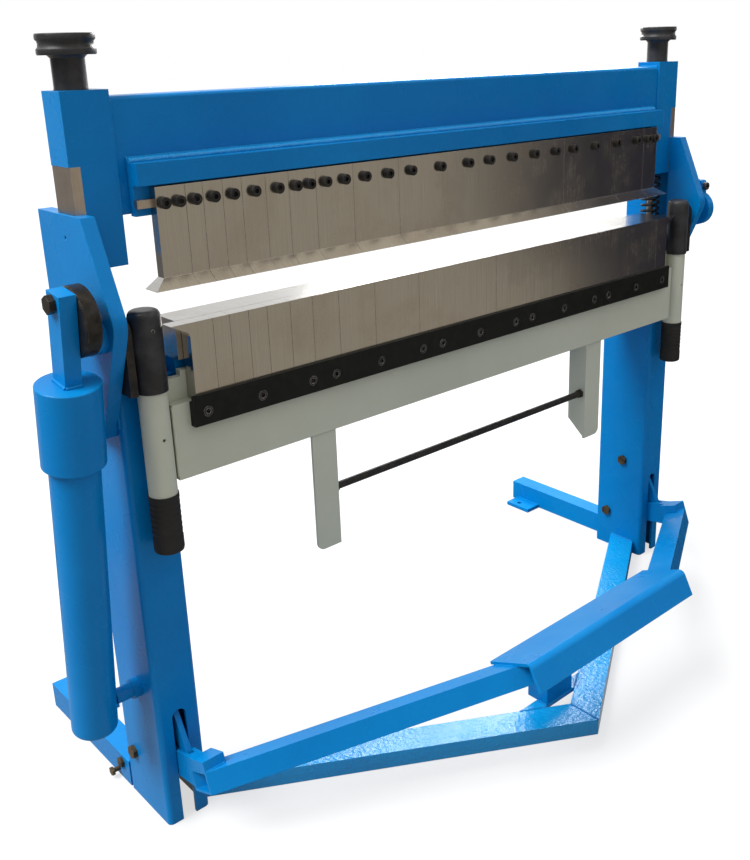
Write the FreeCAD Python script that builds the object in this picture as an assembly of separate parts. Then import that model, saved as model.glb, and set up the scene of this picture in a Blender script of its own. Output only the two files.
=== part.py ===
# Foot clamped box and pan folding brake for sheet metal, built as an assembly of separate pieces.
# Millimetres. X runs along the work, Y away from the operator, Z up from the floor.
# While the pieces are drawn, Y = 0 is the bend line; at the end all of them move so that the
# origin lies on the floor, midway between the anchor holes of the two rear feet.
import FreeCAD, Part
import math
import os

Vector = FreeCAD.Vector

# Work: the jaw is as long as its fingers side by side
finger_widths = [50, 30, 35, 35, 45, 45, 55, 80, 105, 205, 255, 280, 50]
segment_gap = 0.4
bend_height = 903.0
work_width = sum(finger_widths)
half_work = work_width / 2

# Fits
slide_fit = 0.1
shaft_fit = 0.05
screw_fit = 0.2
running_gap = 1.0

# Columns: rounded square tube, slotted in front for the pedal lever
column_clearance = 17.0
column_width = 80.0
column_depth = 143.0
column_front = 22.0
column_wall = 6.0
column_corner = 9.0
column_top_drop = 88.0
slot_width = 26.0
slot_height = 223.0
column_in = half_work + column_clearance
column_out = column_in + column_width
column_mid = (column_in + column_out) / 2
column_back = column_front + column_depth
column_top = bend_height - column_top_drop

# Side plates: thick plate with a pointed nose that carries the hinge
plate_thick = 22.0
plate_rise = 169.0
plate_drop = 170.0
plate_top_front = 20.5
plate_nose_reach = 46.3
plate_nose_rise = 19.2
plate_bottom_front = 38.0
plate_nose_radius = 40.0
dimple_radius = 3.0
dimple_depth = 2.0
plate_out = column_out + plate_thick

# Spring seats on the columns
seat_thick = 19.0
seat_front = 40.0
seat_inset = 12.0
seat_top = column_top + seat_thick

# Bed: bare steel bar on a blue box beam
bed_front = 0.5
bed_back = 56.0
bed_thick = 62.0
rail_front = 14.0
cross_front = 26.0
cross_depth = 100.0
cross_height = 150.0
cross_wall = 6.0

# Floor frame: two flat tubes that meet in a point in front
apex_reach = 347.0
bar_end_front = 44.2
bar_slope = (apex_reach + bar_end_front) / column_in
bar_width = 60.0
bar_height = 34.0
bar_wall = 5.0
corner_plate_depth = 26.0
corner_plate_thick = 8.0
bracket_gap = 29.0
bracket_width = 76.0
bracket_depth = 50.0
bracket_wall = 6.0
bracket_bend = 72.0
bracket_top = 132.0
bracket_lean = 34.0

# Rear feet and their anchor plates
foot_width = 45.0
foot_height = 53.0
foot_wall = 4.0
foot_back = 500.0
anchor_plate_front = 399.0
anchor_plate_back = 479.0
anchor_plate_thick = 10.0
anchor_plate_reach = 49.0
anchor_hole_y = 446.6
anchor_hole_inset = 18.0
anchor_hole_radius = 6.5
foot_in = column_out - foot_width
foot_bolt_radius = 9.0
foot_bolt_reach = 12.0
foot_bolt_back = 45.0
foot_bolt_height = 14.0
foot_bolt_head = 15.0
foot_bolt_head_height = 5.0
foot_screw_back = 28.0
foot_screw_height = 38.0
foot_screw_head = 18.0
foot_screw_head_height = 6.0

# Clamping beam, raised above the bed by the springs
jaw_opening = 48.0
closed_gap = 0.5
beam_travel = jaw_opening - closed_gap
beam_front = 52.0
beam_back = 104.0
beam_bottom_rise = 160.0
beam_top_rise = 330.5
beam_wall = 6.0

# End blocks and their steel slide bars
block_inset = 23.0
block_front = 49.0
block_back = 108.0
block_bottom_rise = 87.0
block_top_rise = 340.5
slide_bar_top_rise = 236.5
slide_bar_thick = 16.0
block_in = column_in + block_inset

# Fingers
finger_face = 20.0
finger_back = 38.0
finger_top_rise = 200.0
toe_reach = 18.5
toe_rise = 15.0
toe_land = 0.5
side_toe = 23.0
key_height = 12.6
key_depth = 10.0
screw_rise = 176.0
screw_head_radius = 9.0
screw_head_height = 9.0
screw_shank_radius = 5.0
screw_length = 28.0
screw_socket = 8.0
screw_socket_depth = 5.0
screw_margin = 29.0
one_screw_width = 50.0
two_screw_width = 150.0
three_screw_width = 250.0
key_overhang = 26.0

# Finger bar and the lip above the fingers
finger_bar_bottom_rise = 157.5
lip_front = 20.5
lip_bottom_rise = 203.0
lip_top_rise = 236.0
lip_overhang = 25.0
weld_size = 9.0

# Pull rods, their clevises and links
rod_radius = 8.0
rod_bore_gap = 0.6
rod_inset = 18.0
rod_y = 84.0
rod_top_rise = 395.0
clevis_top = 308.0
clevis_bottom = 258.0
clevis_depth = 24.0
clevis_wall = 8.0
link_thick = 10.0
link_width = 28.0
link_pin_radius = 5.0
link_eye_play = 0.3
rod_x = column_out - rod_inset

# Knobs
knob_stem_radius = 24.5
knob_stem_length = 47.5
knob_rim_radius = 41.0
knob_waist_radius = 38.0
knob_rim_height = 9.0
knob_head_height = 29.0

# Springs
spring_radius = 23.0
spring_wire = 6.0
spring_turns = 11
spring_sides = 8

# Apron beam and blades
apron_front = -19.0
apron_back = 12.0
apron_bottom_drop = 249.0
apron_overhang = 29.0
apron_face_thick = 12.0
ledge_drop = 125.0
ledge_thick = 16.0
backing_top_drop = 78.0
blade_front = -26.5
blade_back = -0.5
blade_inset = 9.0
blade_toe = 22.0
blade_toe_drop = 15.0
clamp_bar_count = 5
clamp_bar_top_drop = 115.0
clamp_bar_bottom_drop = 165.0
clamp_bar_front = -32.5
bar_screw_drop = 144.0
bar_screw_margin = 25.0

# Apron ends: handle tubes, grips and hinge arms
handle_inset = 24.5
handle_y = -11.0
handle_radius = 22.5
handle_bore = 19.0
handle_hole_drop = 170.0
handle_hole_radius = 2.5
top_grip_rise = 31.0
top_grip_drop = 95.0
top_grip_radius = 25.0
low_grip_top_drop = 264.0
low_grip_bottom_drop = 362.0
low_grip_radius = 24.0
grip_wall_end = 6.0
grip_screw_rise = 2.0
grip_screw_radius = 3.0
step_drop = 88.0
arm_gap = 2.0
arm_thick = 12.0
arm_radius = 23.0
arm_web = 8.0
arm_web_top_drop = 50.0
arm_bottom_drop = 95.0
handle_x = column_in + column_width / 2 - 1.5

# Truss below the apron
post_width = 52.0
post_depth = 47.0
post_front = -16.0
post_centre = 379.0
post_bottom_drop = 473.0
post_corner = 14.0
post_wall = 5.0
post_slope = 40.0
truss_rod_radius = 7.0
truss_rod_y = -2.0
truss_rod_drop = 367.0
truss_nut_size = 18.0
truss_nut_height = 6.0

# Hinge
shaft_radius = 16.0
bush_radius = 24.0
bush_reach = 21.0
disc_thick = 24.0
disc_radius = 52.0
disc_y = -8.0
disc_rise = 32.5
crank_y = -20.0
crank_rise = 66.0
crank_pin_radius = 8.0
crank_head_size = 24.0
crank_head_height = 10.0
crank_shoulder_radius = 13.0
crank_shoulder = 0.5
collar_gap = 3.0
collar_thick = 20.0
collar_radius = 40.0
collar_lug_width = 34.0
collar_lug_rise = 67.0
collar_split = 4.0

# Support strut on the left
strut_bar_thick = 25.0
strut_bar_width = 40.0
strut_bar_top = 15.0
strut_foot_y = 86.0
strut_foot_height = 218.0
cap_radius = 47.0
cap_drop = 122.0
cap_length = 130.0
cap_top_thick = 12.0
strut_tube_radius = 37.5
strut_tube_wall = 4.0
strut_stroke_room = 8.0
strut_stroke = 88.0
anchor_pin_y = 80.0
anchor_pin_height = 260.0
anchor_pin_radius = 13.0
anchor_pin_gap = 0.6
anchor_collar_radius = 17.0
anchor_collar_length = 14.0

# Pedal, drawn pressed down and then raised about its pivot
pedal_raise = 20.5
pivot_y = 130.0
pivot_height = 98.0
pivot_bolt_radius = 9.0
lever_thick = 24.0
lever_boss_radius = 22.0
lever_front_reach = 211.0
lever_block_depth = 44.0
lever_block_drop = 56.0
lever_block_width = 40.0
lever_fork_front = 152.0
lever_fork_back = 46.0
pedal_tube_width = 50.0
pedal_tube_height = 40.0
pedal_tube_wall = 4.0
pedal_tube_drop = 18.0
pad_half = 231.0
pad_reach = 532.5
pad_width = 103.0
pad_face = 53.0
pad_thick = 6.0
pad_drop = 3.0
pad_fall = 4.0
pad_flare = 7.0
pad_bend_radius = 12.0
pad_tube_overlap = 30.0
bolt_head_size = 22.0
bolt_head_height = 8.0
guide_bolt_y = 86.0
guide_bolt_height = 256.0
guide_bolt_radius = 6.0


def rise(above_bend):
    """Height above the floor of a level given from the bend line."""
    return bend_height + above_bend


def block(x0, x1, y0, y1, z0, z1):
    return Part.makeBox(x1 - x0, y1 - y0, z1 - z0, Vector(x0, y0, z0))


def bar(start, end, radius):
    """Round bar from one point to another."""
    axis = end - start
    return Part.makeCylinder(radius, axis.Length, start, axis)


def prism(points, direction):
    """Solid with a polygon for its section; direction gives its length and way."""
    return Part.Face(Part.makePolygon(points + points[:1])).extrude(direction)


def prism_x(section, x0, x1):
    return prism([Vector(x0, y, z) for y, z in section], Vector(x1 - x0, 0, 0))


def prism_y(section, y0, y1):
    return prism([Vector(x, y0, z) for x, z in section], Vector(0, y1 - y0, 0))


def prism_z(section, z0, z1):
    return prism([Vector(x, y, z0) for x, y in section], Vector(0, 0, z1 - z0))


def mirrored(shape):
    """The same piece on the left side of the machine."""
    return shape.mirror(Vector(0, 0, 0), Vector(1, 0, 0))


def pair(shape):
    return [mirrored(shape), shape]


def along(shape, axis):
    """Edges of a shape that run straight along one axis."""
    found = []
    for edge in shape.Edges:
        if len(edge.Vertexes) == 2 and edge.Curve.TypeId == "Part::GeomLine":
            run = edge.Vertexes[1].Point - edge.Vertexes[0].Point
            if run.cross(axis).Length < 1e-6 * run.Length:
                found.append(edge)
    return found


def hexagon(centre, axis, size, height):
    """Hexagonal head or nut: size across flats, on a point, standing along an axis."""
    turn = FreeCAD.Rotation(Vector(0, 0, 1), axis)
    reach = size / math.sqrt(3)
    corners = [Vector(reach * math.cos(i * math.pi / 3), reach * math.sin(i * math.pi / 3), 0)
               for i in range(6)]
    solid = prism(corners, Vector(0, 0, height))
    solid.Placement = FreeCAD.Placement(centre, turn)
    return solid


def socket_screw(seat, axis, length):
    """Cylinder head screw: seat is under the head, axis points from the shank to the head."""
    head = bar(seat, seat + axis * screw_head_height, screw_head_radius)
    rim = [edge for edge in head.Edges if edge.Curve.TypeId == "Part::GeomCircle"
           and (edge.CenterOfMass - seat).dot(axis) > screw_head_height / 2]
    head = head.makeChamfer(screw_head_radius / 12, rim)
    shank = bar(seat - axis * length, seat, screw_shank_radius)
    mouth = seat + axis * (screw_head_height - screw_socket_depth)
    return head.fuse(shank).cut(hexagon(mouth, axis, screw_socket, screw_socket_depth)).removeSplitter()


def column():
    """Right column: tube with round corners, a slot in its front wall and bolt holes."""
    outer = block(column_in, column_out, column_front, column_back, 0, column_top)
    outer = outer.makeFillet(column_corner, along(outer, Vector(0, 0, 1)))
    wall = column_wall
    inner = block(column_in + wall, column_out - wall, column_front + wall, column_back - wall, 0,
                  column_top)
    inner = inner.makeFillet(column_corner - wall / 2, along(inner, Vector(0, 0, 1)))
    half_slot = slot_width / 2
    slot = block(column_mid - half_slot, column_mid + half_slot, column_front, column_front + wall, 0,
                 slot_height - half_slot)
    arch = bar(Vector(column_mid, column_front, slot_height - half_slot),
               Vector(column_mid, column_front + wall, slot_height - half_slot), half_slot)
    pivot = bar(Vector(column_in, pivot_y, pivot_height), Vector(column_out, pivot_y, pivot_height),
                pivot_bolt_radius + screw_fit)
    guide = bar(Vector(column_in, guide_bolt_y, guide_bolt_height),
                Vector(column_mid, guide_bolt_y, guide_bolt_height), guide_bolt_radius + screw_fit)
    return outer.cut(inner).cut(slot).cut(arch).cut(pivot).cut(guide).removeSplitter()


def side_plate():
    """Right side plate, grooved on its inside for the slide bar and bored for the hinge bush."""
    section = [(plate_top_front, rise(plate_rise)), (column_back, rise(plate_rise)),
               (column_back, rise(-plate_drop)), (plate_bottom_front, rise(-plate_drop)),
               (-plate_nose_reach, rise(plate_nose_rise))]
    plate = prism_x(section, column_out, plate_out)
    nose = [edge for edge in along(plate, Vector(1, 0, 0)) if edge.CenterOfMass.y < -plate_nose_reach + 1]
    plate = plate.makeFillet(plate_nose_radius, nose)
    groove = block(column_out, column_out + slide_bar_thick, block_front - slide_fit,
                   block_back + slide_fit, seat_top, rise(plate_rise))
    bore = bar(Vector(column_out, 0, bend_height), Vector(plate_out, 0, bend_height), bush_radius + screw_fit)
    dimple_at = Vector(plate_out - dimple_depth, (block_front + block_back) / 2, rise(plate_rise - 34))
    dimple = bar(dimple_at, dimple_at + Vector(dimple_depth, 0, 0), dimple_radius)
    return plate.cut(groove).cut(bore).cut(dimple)


def spring_seat():
    """Plate on the right column's top, bored for the pull rod."""
    seat = block(column_in - seat_inset, column_out, seat_front, column_back, column_top, seat_top)
    bore = bar(Vector(rod_x, rod_y, column_top), Vector(rod_x, rod_y, seat_top), rod_radius + rod_bore_gap)
    return seat.cut(bore)


def bed_beam():
    """Box beam between the columns, with a rail on top that the bed lies on."""
    top = column_top
    bottom = column_top - cross_height
    wall = cross_wall
    back = cross_front + cross_depth
    box = block(-column_in, column_in, cross_front, back, bottom, top)
    hollow = block(-column_in, column_in, cross_front + wall, back - wall, bottom + wall, top - wall)
    rail = block(-half_work, half_work, rail_front, bed_back, top, rise(-bed_thick))
    return box.cut(hollow).fuse(rail).removeSplitter()


def bed_plate():
    return block(-half_work, half_work, bed_front, bed_back, rise(-bed_thick), bend_height)


def floor_bar():
    """Right half of the V: a flat tube, mitred in front and cut square at the column."""
    width_y = bar_width * math.hypot(1, bar_slope)
    wall_y = bar_wall * math.hypot(1, bar_slope)
    end_shift = bar_slope * column_in

    def outline(inset):
        near = -apex_reach + inset
        far = -apex_reach + width_y - inset
        return [(0, near), (column_in, near + end_shift), (column_in, far + end_shift), (0, far)]

    tube = prism_z(outline(0), 0, bar_height)
    hollow = prism_z(outline(wall_y), bar_wall, bar_height - bar_wall)
    return tube.cut(hollow)


def inner_corner():
    """Where the inner sides of the two floor bars meet."""
    return -apex_reach + bar_width * math.hypot(1, bar_slope)


def corner_plate():
    """Plate across the corner of the V, level with the tops of the floor bars."""
    front = bracket_gap
    back = bracket_gap + corner_plate_depth
    outline = [(front / bar_slope, inner_corner() + front), (back / bar_slope, inner_corner() + back),
               (-back / bar_slope, inner_corner() + back), (-front / bar_slope, inner_corner() + front)]
    return prism_z(outline, bar_height - corner_plate_thick, bar_height)


def pedal_stop():
    """Bent channel that stands on the corner plate and leans back below the pedal."""
    half = bracket_width / 2
    front = inner_corner() + bracket_gap
    back = front + bracket_depth

    def profile(inset):
        return [(front + inset, bar_height), (front + inset, bracket_bend),
                (front + inset + bracket_lean, bracket_top), (back + bracket_lean, bracket_top),
                (back, bracket_bend), (back, bar_height)]

    channel = prism_x(profile(0), -half, half)
    return channel.cut(prism_x(profile(bracket_wall), -half + bracket_wall, half - bracket_wall))


def rear_foot():
    """Square tube behind the right column, closed by the column in front and open behind."""
    tube = block(foot_in, column_out, column_back, foot_back, 0, foot_height)
    wall = foot_wall
    hollow = block(foot_in + wall, column_out - wall, column_back, foot_back, wall, foot_height - wall)
    return tube.cut(hollow)


def anchor_plate():
    """Flat plate on the inside of the right foot, with the hole for the floor bolt."""
    inner_end = foot_in - anchor_plate_reach
    plate = block(inner_end, foot_in, anchor_plate_front, anchor_plate_back, 0, anchor_plate_thick)
    hole_x = inner_end + anchor_hole_inset
    hole = bar(Vector(hole_x, anchor_hole_y, 0), Vector(hole_x, anchor_hole_y, anchor_plate_thick),
               anchor_hole_radius)
    return plate.cut(hole)


def strut_anchor_pin():
    """Pin on the left column that the strut's foot rests over."""
    tip = strut_x() + strut_tube_radius + anchor_pin_gap
    start = Vector(-column_out, anchor_pin_y, anchor_pin_height)
    end = Vector(tip, anchor_pin_y, anchor_pin_height)
    collar_end = start - Vector(anchor_collar_length, 0, 0)
    return bar(start, end, anchor_pin_radius).fuse(bar(start, collar_end, anchor_collar_radius))


def hinge_bush():
    """Right hinge bush: a tube through the side plate that stands out on the outside."""
    start = Vector(column_out, 0, bend_height)
    end = Vector(plate_out + bush_reach, 0, bend_height)
    return bar(start, end, bush_radius).cut(bar(start, end, shaft_radius + shaft_fit))


def column_bolts():
    """Pivot bolt of the pedal lever and the guide bolt above it, on the right."""
    inward = Vector(-1, 0, 0)
    outward = Vector(1, 0, 0)
    pivot_in = Vector(column_in, pivot_y, pivot_height)
    pivot_out = Vector(column_out, pivot_y, pivot_height)
    pivot = bar(pivot_in, pivot_out, pivot_bolt_radius)
    pivot = pivot.fuse(hexagon(pivot_in, inward, bolt_head_size, bolt_head_height))
    pivot = pivot.fuse(hexagon(pivot_out, outward, bolt_head_size, bolt_head_height))
    guide_in = Vector(column_in, guide_bolt_y, guide_bolt_height)
    guide = bar(guide_in, guide_in + outward * column_wall * 2, guide_bolt_radius)
    guide = guide.fuse(hexagon(guide_in, inward, bolt_head_size, bolt_head_height))
    return [pivot, guide]


def foot_screws():
    """Two small bolts on the outside of the left foot; the lower one stands out."""
    face = -column_out
    outward = Vector(-1, 0, 0)
    high = Vector(face, column_back + foot_screw_back, foot_screw_height)
    short = hexagon(high, outward, foot_screw_head, foot_screw_head_height)
    low = Vector(face, column_back + foot_bolt_back, foot_bolt_height)
    tip = low - Vector(foot_bolt_reach, 0, 0)
    long = bar(low, tip, foot_bolt_radius / 2)
    long = long.fuse(hexagon(tip, outward, foot_bolt_head, foot_bolt_head_height))
    return [short, long]


def clamp_beam():
    """Box beam between the end blocks."""
    bottom = rise(beam_bottom_rise)
    top = rise(beam_top_rise)
    wall = beam_wall
    box = block(-block_in, block_in, beam_front, beam_back, bottom, top)
    box = box.makeFillet(wall, along(box, Vector(1, 0, 0)))
    return box.cut(block(-block_in, block_in, beam_front + wall, beam_back - wall, bottom + wall,
                         top - wall))


def beam_lip():
    """Flat bar welded across the beam's front above the fingers, with its weld bead."""
    half = half_work + lip_overhang
    top = rise(lip_top_rise)
    lip = block(-half, half, lip_front, beam_front, rise(lip_bottom_rise), top)
    weld = prism_x([(beam_front, top), (beam_front - weld_size, top), (beam_front, top + weld_size)],
                   -half, half)
    return lip.fuse(weld)


def finger_bar():
    """Bar behind the fingers that their screws are tapped into."""
    half = half_work + key_overhang - running_gap
    shape = block(-half, half, finger_back, beam_front, rise(finger_bar_bottom_rise), rise(lip_bottom_rise))
    return shape.cut(Part.makeCompound(screw_holes(finger_widths_at())))


def finger_key():
    """Strip that lies in the groove of the fingers' backs."""
    half = half_work + key_overhang
    middle = rise(screw_rise)
    shape = block(-half, half, finger_back - key_depth, finger_back, middle - key_height / 2,
                  middle + key_height / 2)
    return shape.cut(Part.makeCompound(screw_holes(finger_widths_at())))


def end_block():
    """Right end block, notched on the outside for the slide bar and bored for the pull rod."""
    outer = column_out + slide_bar_thick
    whole = block(block_in, outer, block_front, block_back, rise(block_bottom_rise), rise(block_top_rise))
    notch = block(column_out - running_gap, outer, block_front, block_back, rise(block_bottom_rise),
                  rise(slide_bar_top_rise))
    bore = bar(Vector(rod_x, rod_y, rise(block_bottom_rise)), Vector(rod_x, rod_y, rise(block_top_rise)),
               rod_radius + rod_bore_gap)
    return whole.cut(notch).cut(bore)


def slide_bar():
    """Bare steel bar on the right end block that slides in the groove of the side plate."""
    return block(column_out - running_gap, column_out + slide_bar_thick - running_gap, block_front,
                 block_back, rise(block_bottom_rise), rise(slide_bar_top_rise))


def finger_widths_at():
    """Left edge and width of each segment of the jaw."""
    places = []
    left = -half_work
    for width in finger_widths:
        places.append((left, width))
        left += width
    return places


def screw_places(left, width):
    """One screw in a narrow finger, two to four in a wide one."""
    if width < one_screw_width:
        return [left + width / 2]
    count = 2 if width < two_screw_width else 3 if width < three_screw_width else 4
    margin = min(width / 4, screw_margin)
    step = (width - 2 * margin) / (count - 1)
    return [left + margin + i * step for i in range(count)]


def screw_holes(places):
    holes = []
    for left, width in places:
        for x in screw_places(left, width):
            face = Vector(x, finger_face, rise(screw_rise))
            holes.append(bar(face, face + Vector(0, screw_length + screw_fit, 0),
                             screw_shank_radius + screw_fit))
    return holes


def finger(index):
    """One clamping finger: its foot is drawn out to a sharp toe, and the end ones have a side toe."""
    left, width = finger_widths_at()[index]
    low = rise(jaw_opening)
    land = low + toe_land
    knee = land + toe_rise
    top = rise(finger_top_rise)
    tip = finger_face - toe_reach
    x0 = left + segment_gap / 2
    x1 = left + width - segment_gap / 2
    front = [(tip, low), (finger_back, low), (finger_back, top), (finger_face, top), (finger_face, knee),
             (tip, land)]
    is_first = index == 0
    is_last = index == len(finger_widths) - 1
    body_left = x0 - side_toe if is_first else x0
    body_right = x1 + side_toe if is_last else x1
    shape = prism_x(front, body_left, body_right)
    if is_first or is_last:
        side = [(body_left, low), (body_right, low), (body_right, land), (x1, knee), (x1, top), (x0, top),
                (x0, knee), (body_left, land)]
        shape = shape.common(prism_y(side, tip, finger_back))
    middle = rise(screw_rise)
    groove = block(body_left, body_right, finger_back - key_depth, finger_back,
                   middle - key_height / 2, middle + key_height / 2)
    return shape.cut(groove).cut(Part.makeCompound(screw_holes([(left, width)])))


def finger_screws():
    screws = []
    for left, width in finger_widths_at():
        for x in screw_places(left, width):
            screws.append(socket_screw(Vector(x, finger_face, rise(screw_rise)), Vector(0, -1, 0),
                                       screw_length))
    return screws


def link_pin():
    """Place of the lever's cross pin with the pedal raised, which the link hangs on."""
    half_turn = math.radians(pedal_raise / 2)
    reach = beam_travel / 2 / math.sin(half_turn)
    return Vector(column_mid, pivot_y - reach * math.cos(half_turn), pivot_height + beam_travel / 2)


def pull_rod():
    """Right pull rod, from the knob down through the spring into the column, with its clevis."""
    rod = bar(Vector(rod_x, rod_y, clevis_top), Vector(rod_x, rod_y, rise(rod_top_rise)), rod_radius)
    half_slot = link_thick / 2 + slide_fit
    fork_in = column_mid - half_slot - clevis_wall
    fork = block(fork_in, rod_x + rod_radius, rod_y - clevis_depth / 2, rod_y + clevis_depth / 2,
                 clevis_bottom, clevis_top)
    slot_top = clevis_top - clevis_wall
    slot = block(column_mid - half_slot, column_mid + half_slot, rod_y - clevis_depth / 2,
                 rod_y + clevis_depth / 2, clevis_bottom, slot_top)
    pin = Vector(fork_in, rod_y, (clevis_bottom + slot_top) / 2)
    hole = bar(pin, Vector(column_mid + half_slot + clevis_wall, pin.y, pin.z),
               link_pin_radius + shaft_fit)
    return rod.fuse(fork).cut(slot).cut(hole).removeSplitter()


def pull_link():
    """Flat link from the clevis out through the column's slot to the pin of the lever."""
    upper = Vector(column_mid, rod_y, (clevis_bottom + clevis_top - clevis_wall) / 2)
    lower = link_pin()
    half = Vector(link_thick / 2, 0, 0)
    run = lower - upper
    side = Vector(0, -run.z, run.y).normalize() * (link_width / 2)
    crop = link_width / 2 - clevis_depth / 2
    plate = prism([upper + side - half, lower + side - half, lower - side - half, upper - side - half],
                  half * 2)
    for end in (upper, lower):
        plate = plate.fuse(bar(end - half, end + half, link_width / 2))
    keep = block(column_mid - link_thick, column_mid + link_thick, rod_y + crop - link_width / 2,
                 rod_y - crop + link_width / 2, upper.z, clevis_top)
    head = block(column_mid - link_thick, column_mid + link_thick, rod_y - link_width, rod_y + link_width,
                 upper.z, clevis_top)
    plate = plate.cut(head.cut(keep))
    play = pin_drift() + link_eye_play
    radius = lever_pin_radius() + link_eye_play
    eye = bar(lower - half, lower + half, radius)
    eye = eye.fuse(bar(lower - half - Vector(0, play, 0), lower + half - Vector(0, play, 0), radius))
    eye = eye.fuse(block(lower.x - link_thick / 2, lower.x + link_thick / 2, lower.y - play, lower.y,
                         lower.z - radius, lower.z + radius))
    pin_half = Vector(link_thick / 2 + slide_fit + clevis_wall, 0, 0)
    pin = bar(upper - pin_half, upper + pin_half, link_pin_radius)
    return plate.fuse(pin).cut(eye).removeSplitter()


def pin_drift():
    """How far the lever's pin moves forwards at the middle of its swing."""
    half_turn = math.radians(pedal_raise / 2)
    reach = beam_travel / 2 / math.sin(half_turn)
    return reach * (1 - math.cos(half_turn))


def lever_pin_radius():
    return link_pin_radius + 1


def knob():
    """Right adjusting knob: a stem and a spool shaped head, bored for the rod."""
    base = rise(block_top_rise)
    neck = base + knob_stem_length
    top = neck + knob_head_height
    outline = [(0, base), (knob_stem_radius, base), (knob_stem_radius, neck), (knob_rim_radius, neck),
               (knob_rim_radius, neck + knob_rim_height), (knob_waist_radius, neck + knob_rim_height + 3),
               (knob_waist_radius, top - knob_rim_height - 3), (knob_rim_radius, top - knob_rim_height),
               (knob_rim_radius, top), (0, top)]
    points = [Vector(r, 0, z) for r, z in outline]
    shape = Part.Face(Part.makePolygon(points + points[:1])).revolve(Vector(0, 0, 0), Vector(0, 0, 1), 360)
    shape.translate(Vector(rod_x, rod_y, 0))
    rims = [edge for edge in shape.Edges if edge.Curve.TypeId == "Part::GeomCircle"
            and abs(edge.Curve.Radius - knob_rim_radius) < 1e-6]
    shape = shape.makeFillet(2.0, rims)
    bore = bar(Vector(rod_x, rod_y, base), Vector(rod_x, rod_y, rise(rod_top_rise) + running_gap),
               rod_radius + shaft_fit)
    return shape.cut(bore)


def spring():
    """Right compression spring with ground ends, between the seat and the end block."""
    low = seat_top
    high = rise(block_bottom_rise)
    coil_radius = spring_radius - spring_wire / 2
    pitch = (high - low) / spring_turns
    helix = Part.makeHelix(pitch, high - low + 2 * pitch, coil_radius)
    helix.translate(Vector(0, 0, low - pitch))
    start = Vector(coil_radius, 0, low - pitch)
    turn = FreeCAD.Rotation(Vector(0, 0, 1), Vector(0, 2 * math.pi * coil_radius, pitch))
    corners = []
    for i in range(spring_sides):
        angle = 2 * math.pi * i / spring_sides
        flat = Vector(math.cos(angle), math.sin(angle), 0) * (spring_wire / 2)
        corners.append(start + turn.multVec(flat))
    wire = Part.makePolygon(corners + corners[:1])
    coil = Part.Wire(helix.Edges).makePipeShell([wire], True, True)
    coil.translate(Vector(rod_x, rod_y, 0))
    room = block(rod_x - spring_radius, rod_x + spring_radius, rod_y - spring_radius,
                 rod_y + spring_radius, low, high)
    return coil.common(room)


def apron_beam():
    """Folded apron beam: a face, a bottom flange, a ledge for the blades and a backing behind them."""
    half = half_work + apron_overhang
    bottom = rise(-apron_bottom_drop)
    ledge = rise(-ledge_drop)
    rear = apron_front + apron_face_thick
    section = [(apron_front, bottom), (apron_back, bottom), (apron_back, bottom + apron_face_thick),
               (rear, bottom + apron_face_thick), (rear, ledge - ledge_thick),
               (apron_back, ledge - ledge_thick), (apron_back, ledge), (apron_front, ledge)]
    shape = prism_x(section, -half, half)
    wide = half_work - blade_inset
    backing = block(-wide, wide, blade_back, apron_back, ledge, rise(-backing_top_drop))
    return shape.fuse(backing).cut(Part.makeCompound(bar_screw_holes())).removeSplitter()


def clamp_bar_places():
    """Left edge of each clamping bar and its length."""
    length = work_width / clamp_bar_count
    return [(-half_work + i * length, length) for i in range(clamp_bar_count)]


def bar_screw_places():
    places = []
    for left, length in clamp_bar_places():
        places += [left + bar_screw_margin, left + length / 2, left + length - bar_screw_margin]
    return places


def bar_screw_seat(x):
    """Seat of a clamping bar screw, sunk so that the head ends flush with the bar."""
    return Vector(x, clamp_bar_front + screw_head_height + screw_fit, rise(-bar_screw_drop))


def bar_screw_length():
    return apron_front + apron_face_thick - clamp_bar_front - screw_head_height - 2 * screw_fit


def bar_screw_holes():
    holes = []
    for x in bar_screw_places():
        seat = bar_screw_seat(x)
        holes.append(bar(seat, Vector(x, apron_front + apron_face_thick, seat.z),
                         screw_shank_radius + screw_fit))
    return holes


def clamp_bars():
    """Black bars that hold the blades' feet against the apron; a rebate grips the blades."""
    top = rise(-clamp_bar_top_drop)
    bottom = rise(-clamp_bar_bottom_drop)
    ledge = rise(-ledge_drop)
    section = [(clamp_bar_front, bottom), (apron_front, bottom), (apron_front, ledge),
               (blade_front, ledge), (blade_front, top), (clamp_bar_front, top)]
    bars = []
    for left, length in clamp_bar_places():
        shape = prism_x(section, left + segment_gap / 2, left + length - segment_gap / 2)
        for x in (left + bar_screw_margin, left + length / 2, left + length - bar_screw_margin):
            seat = bar_screw_seat(x)
            shape = shape.cut(bar(Vector(x, clamp_bar_front, seat.z), seat, screw_head_radius + screw_fit))
            shape = shape.cut(bar(seat, Vector(x, apron_front, seat.z), screw_shank_radius + screw_fit))
        bars.append(shape)
    return bars


def apron_blades():
    """Bending blades, one per finger; the end ones are drawn out to a side toe at the top."""
    low = rise(-ledge_drop)
    top = bend_height
    blades = []
    places = finger_widths_at()
    for left, width in places:
        x0 = left + segment_gap / 2
        x1 = left + width - segment_gap / 2
        if (left, width) == places[0]:
            inner = left + blade_inset
            outer = left - blade_toe
            section = [(inner, low), (x1, low), (x1, top), (outer, top), (outer, top - toe_land),
                       (inner - 3, top - blade_toe_drop), (inner, top - blade_toe_drop - 6)]
        elif (left, width) == places[-1]:
            inner = left + width - blade_inset
            outer = left + width + blade_toe
            section = [(x0, low), (inner, low), (inner, top - blade_toe_drop - 6),
                       (inner + 3, top - blade_toe_drop), (outer, top - toe_land), (outer, top), (x0, top)]
        else:
            section = [(x0, low), (x1, low), (x1, top), (x0, top)]
        blades.append(prism_y(section, blade_front, blade_back))
    return blades


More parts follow.
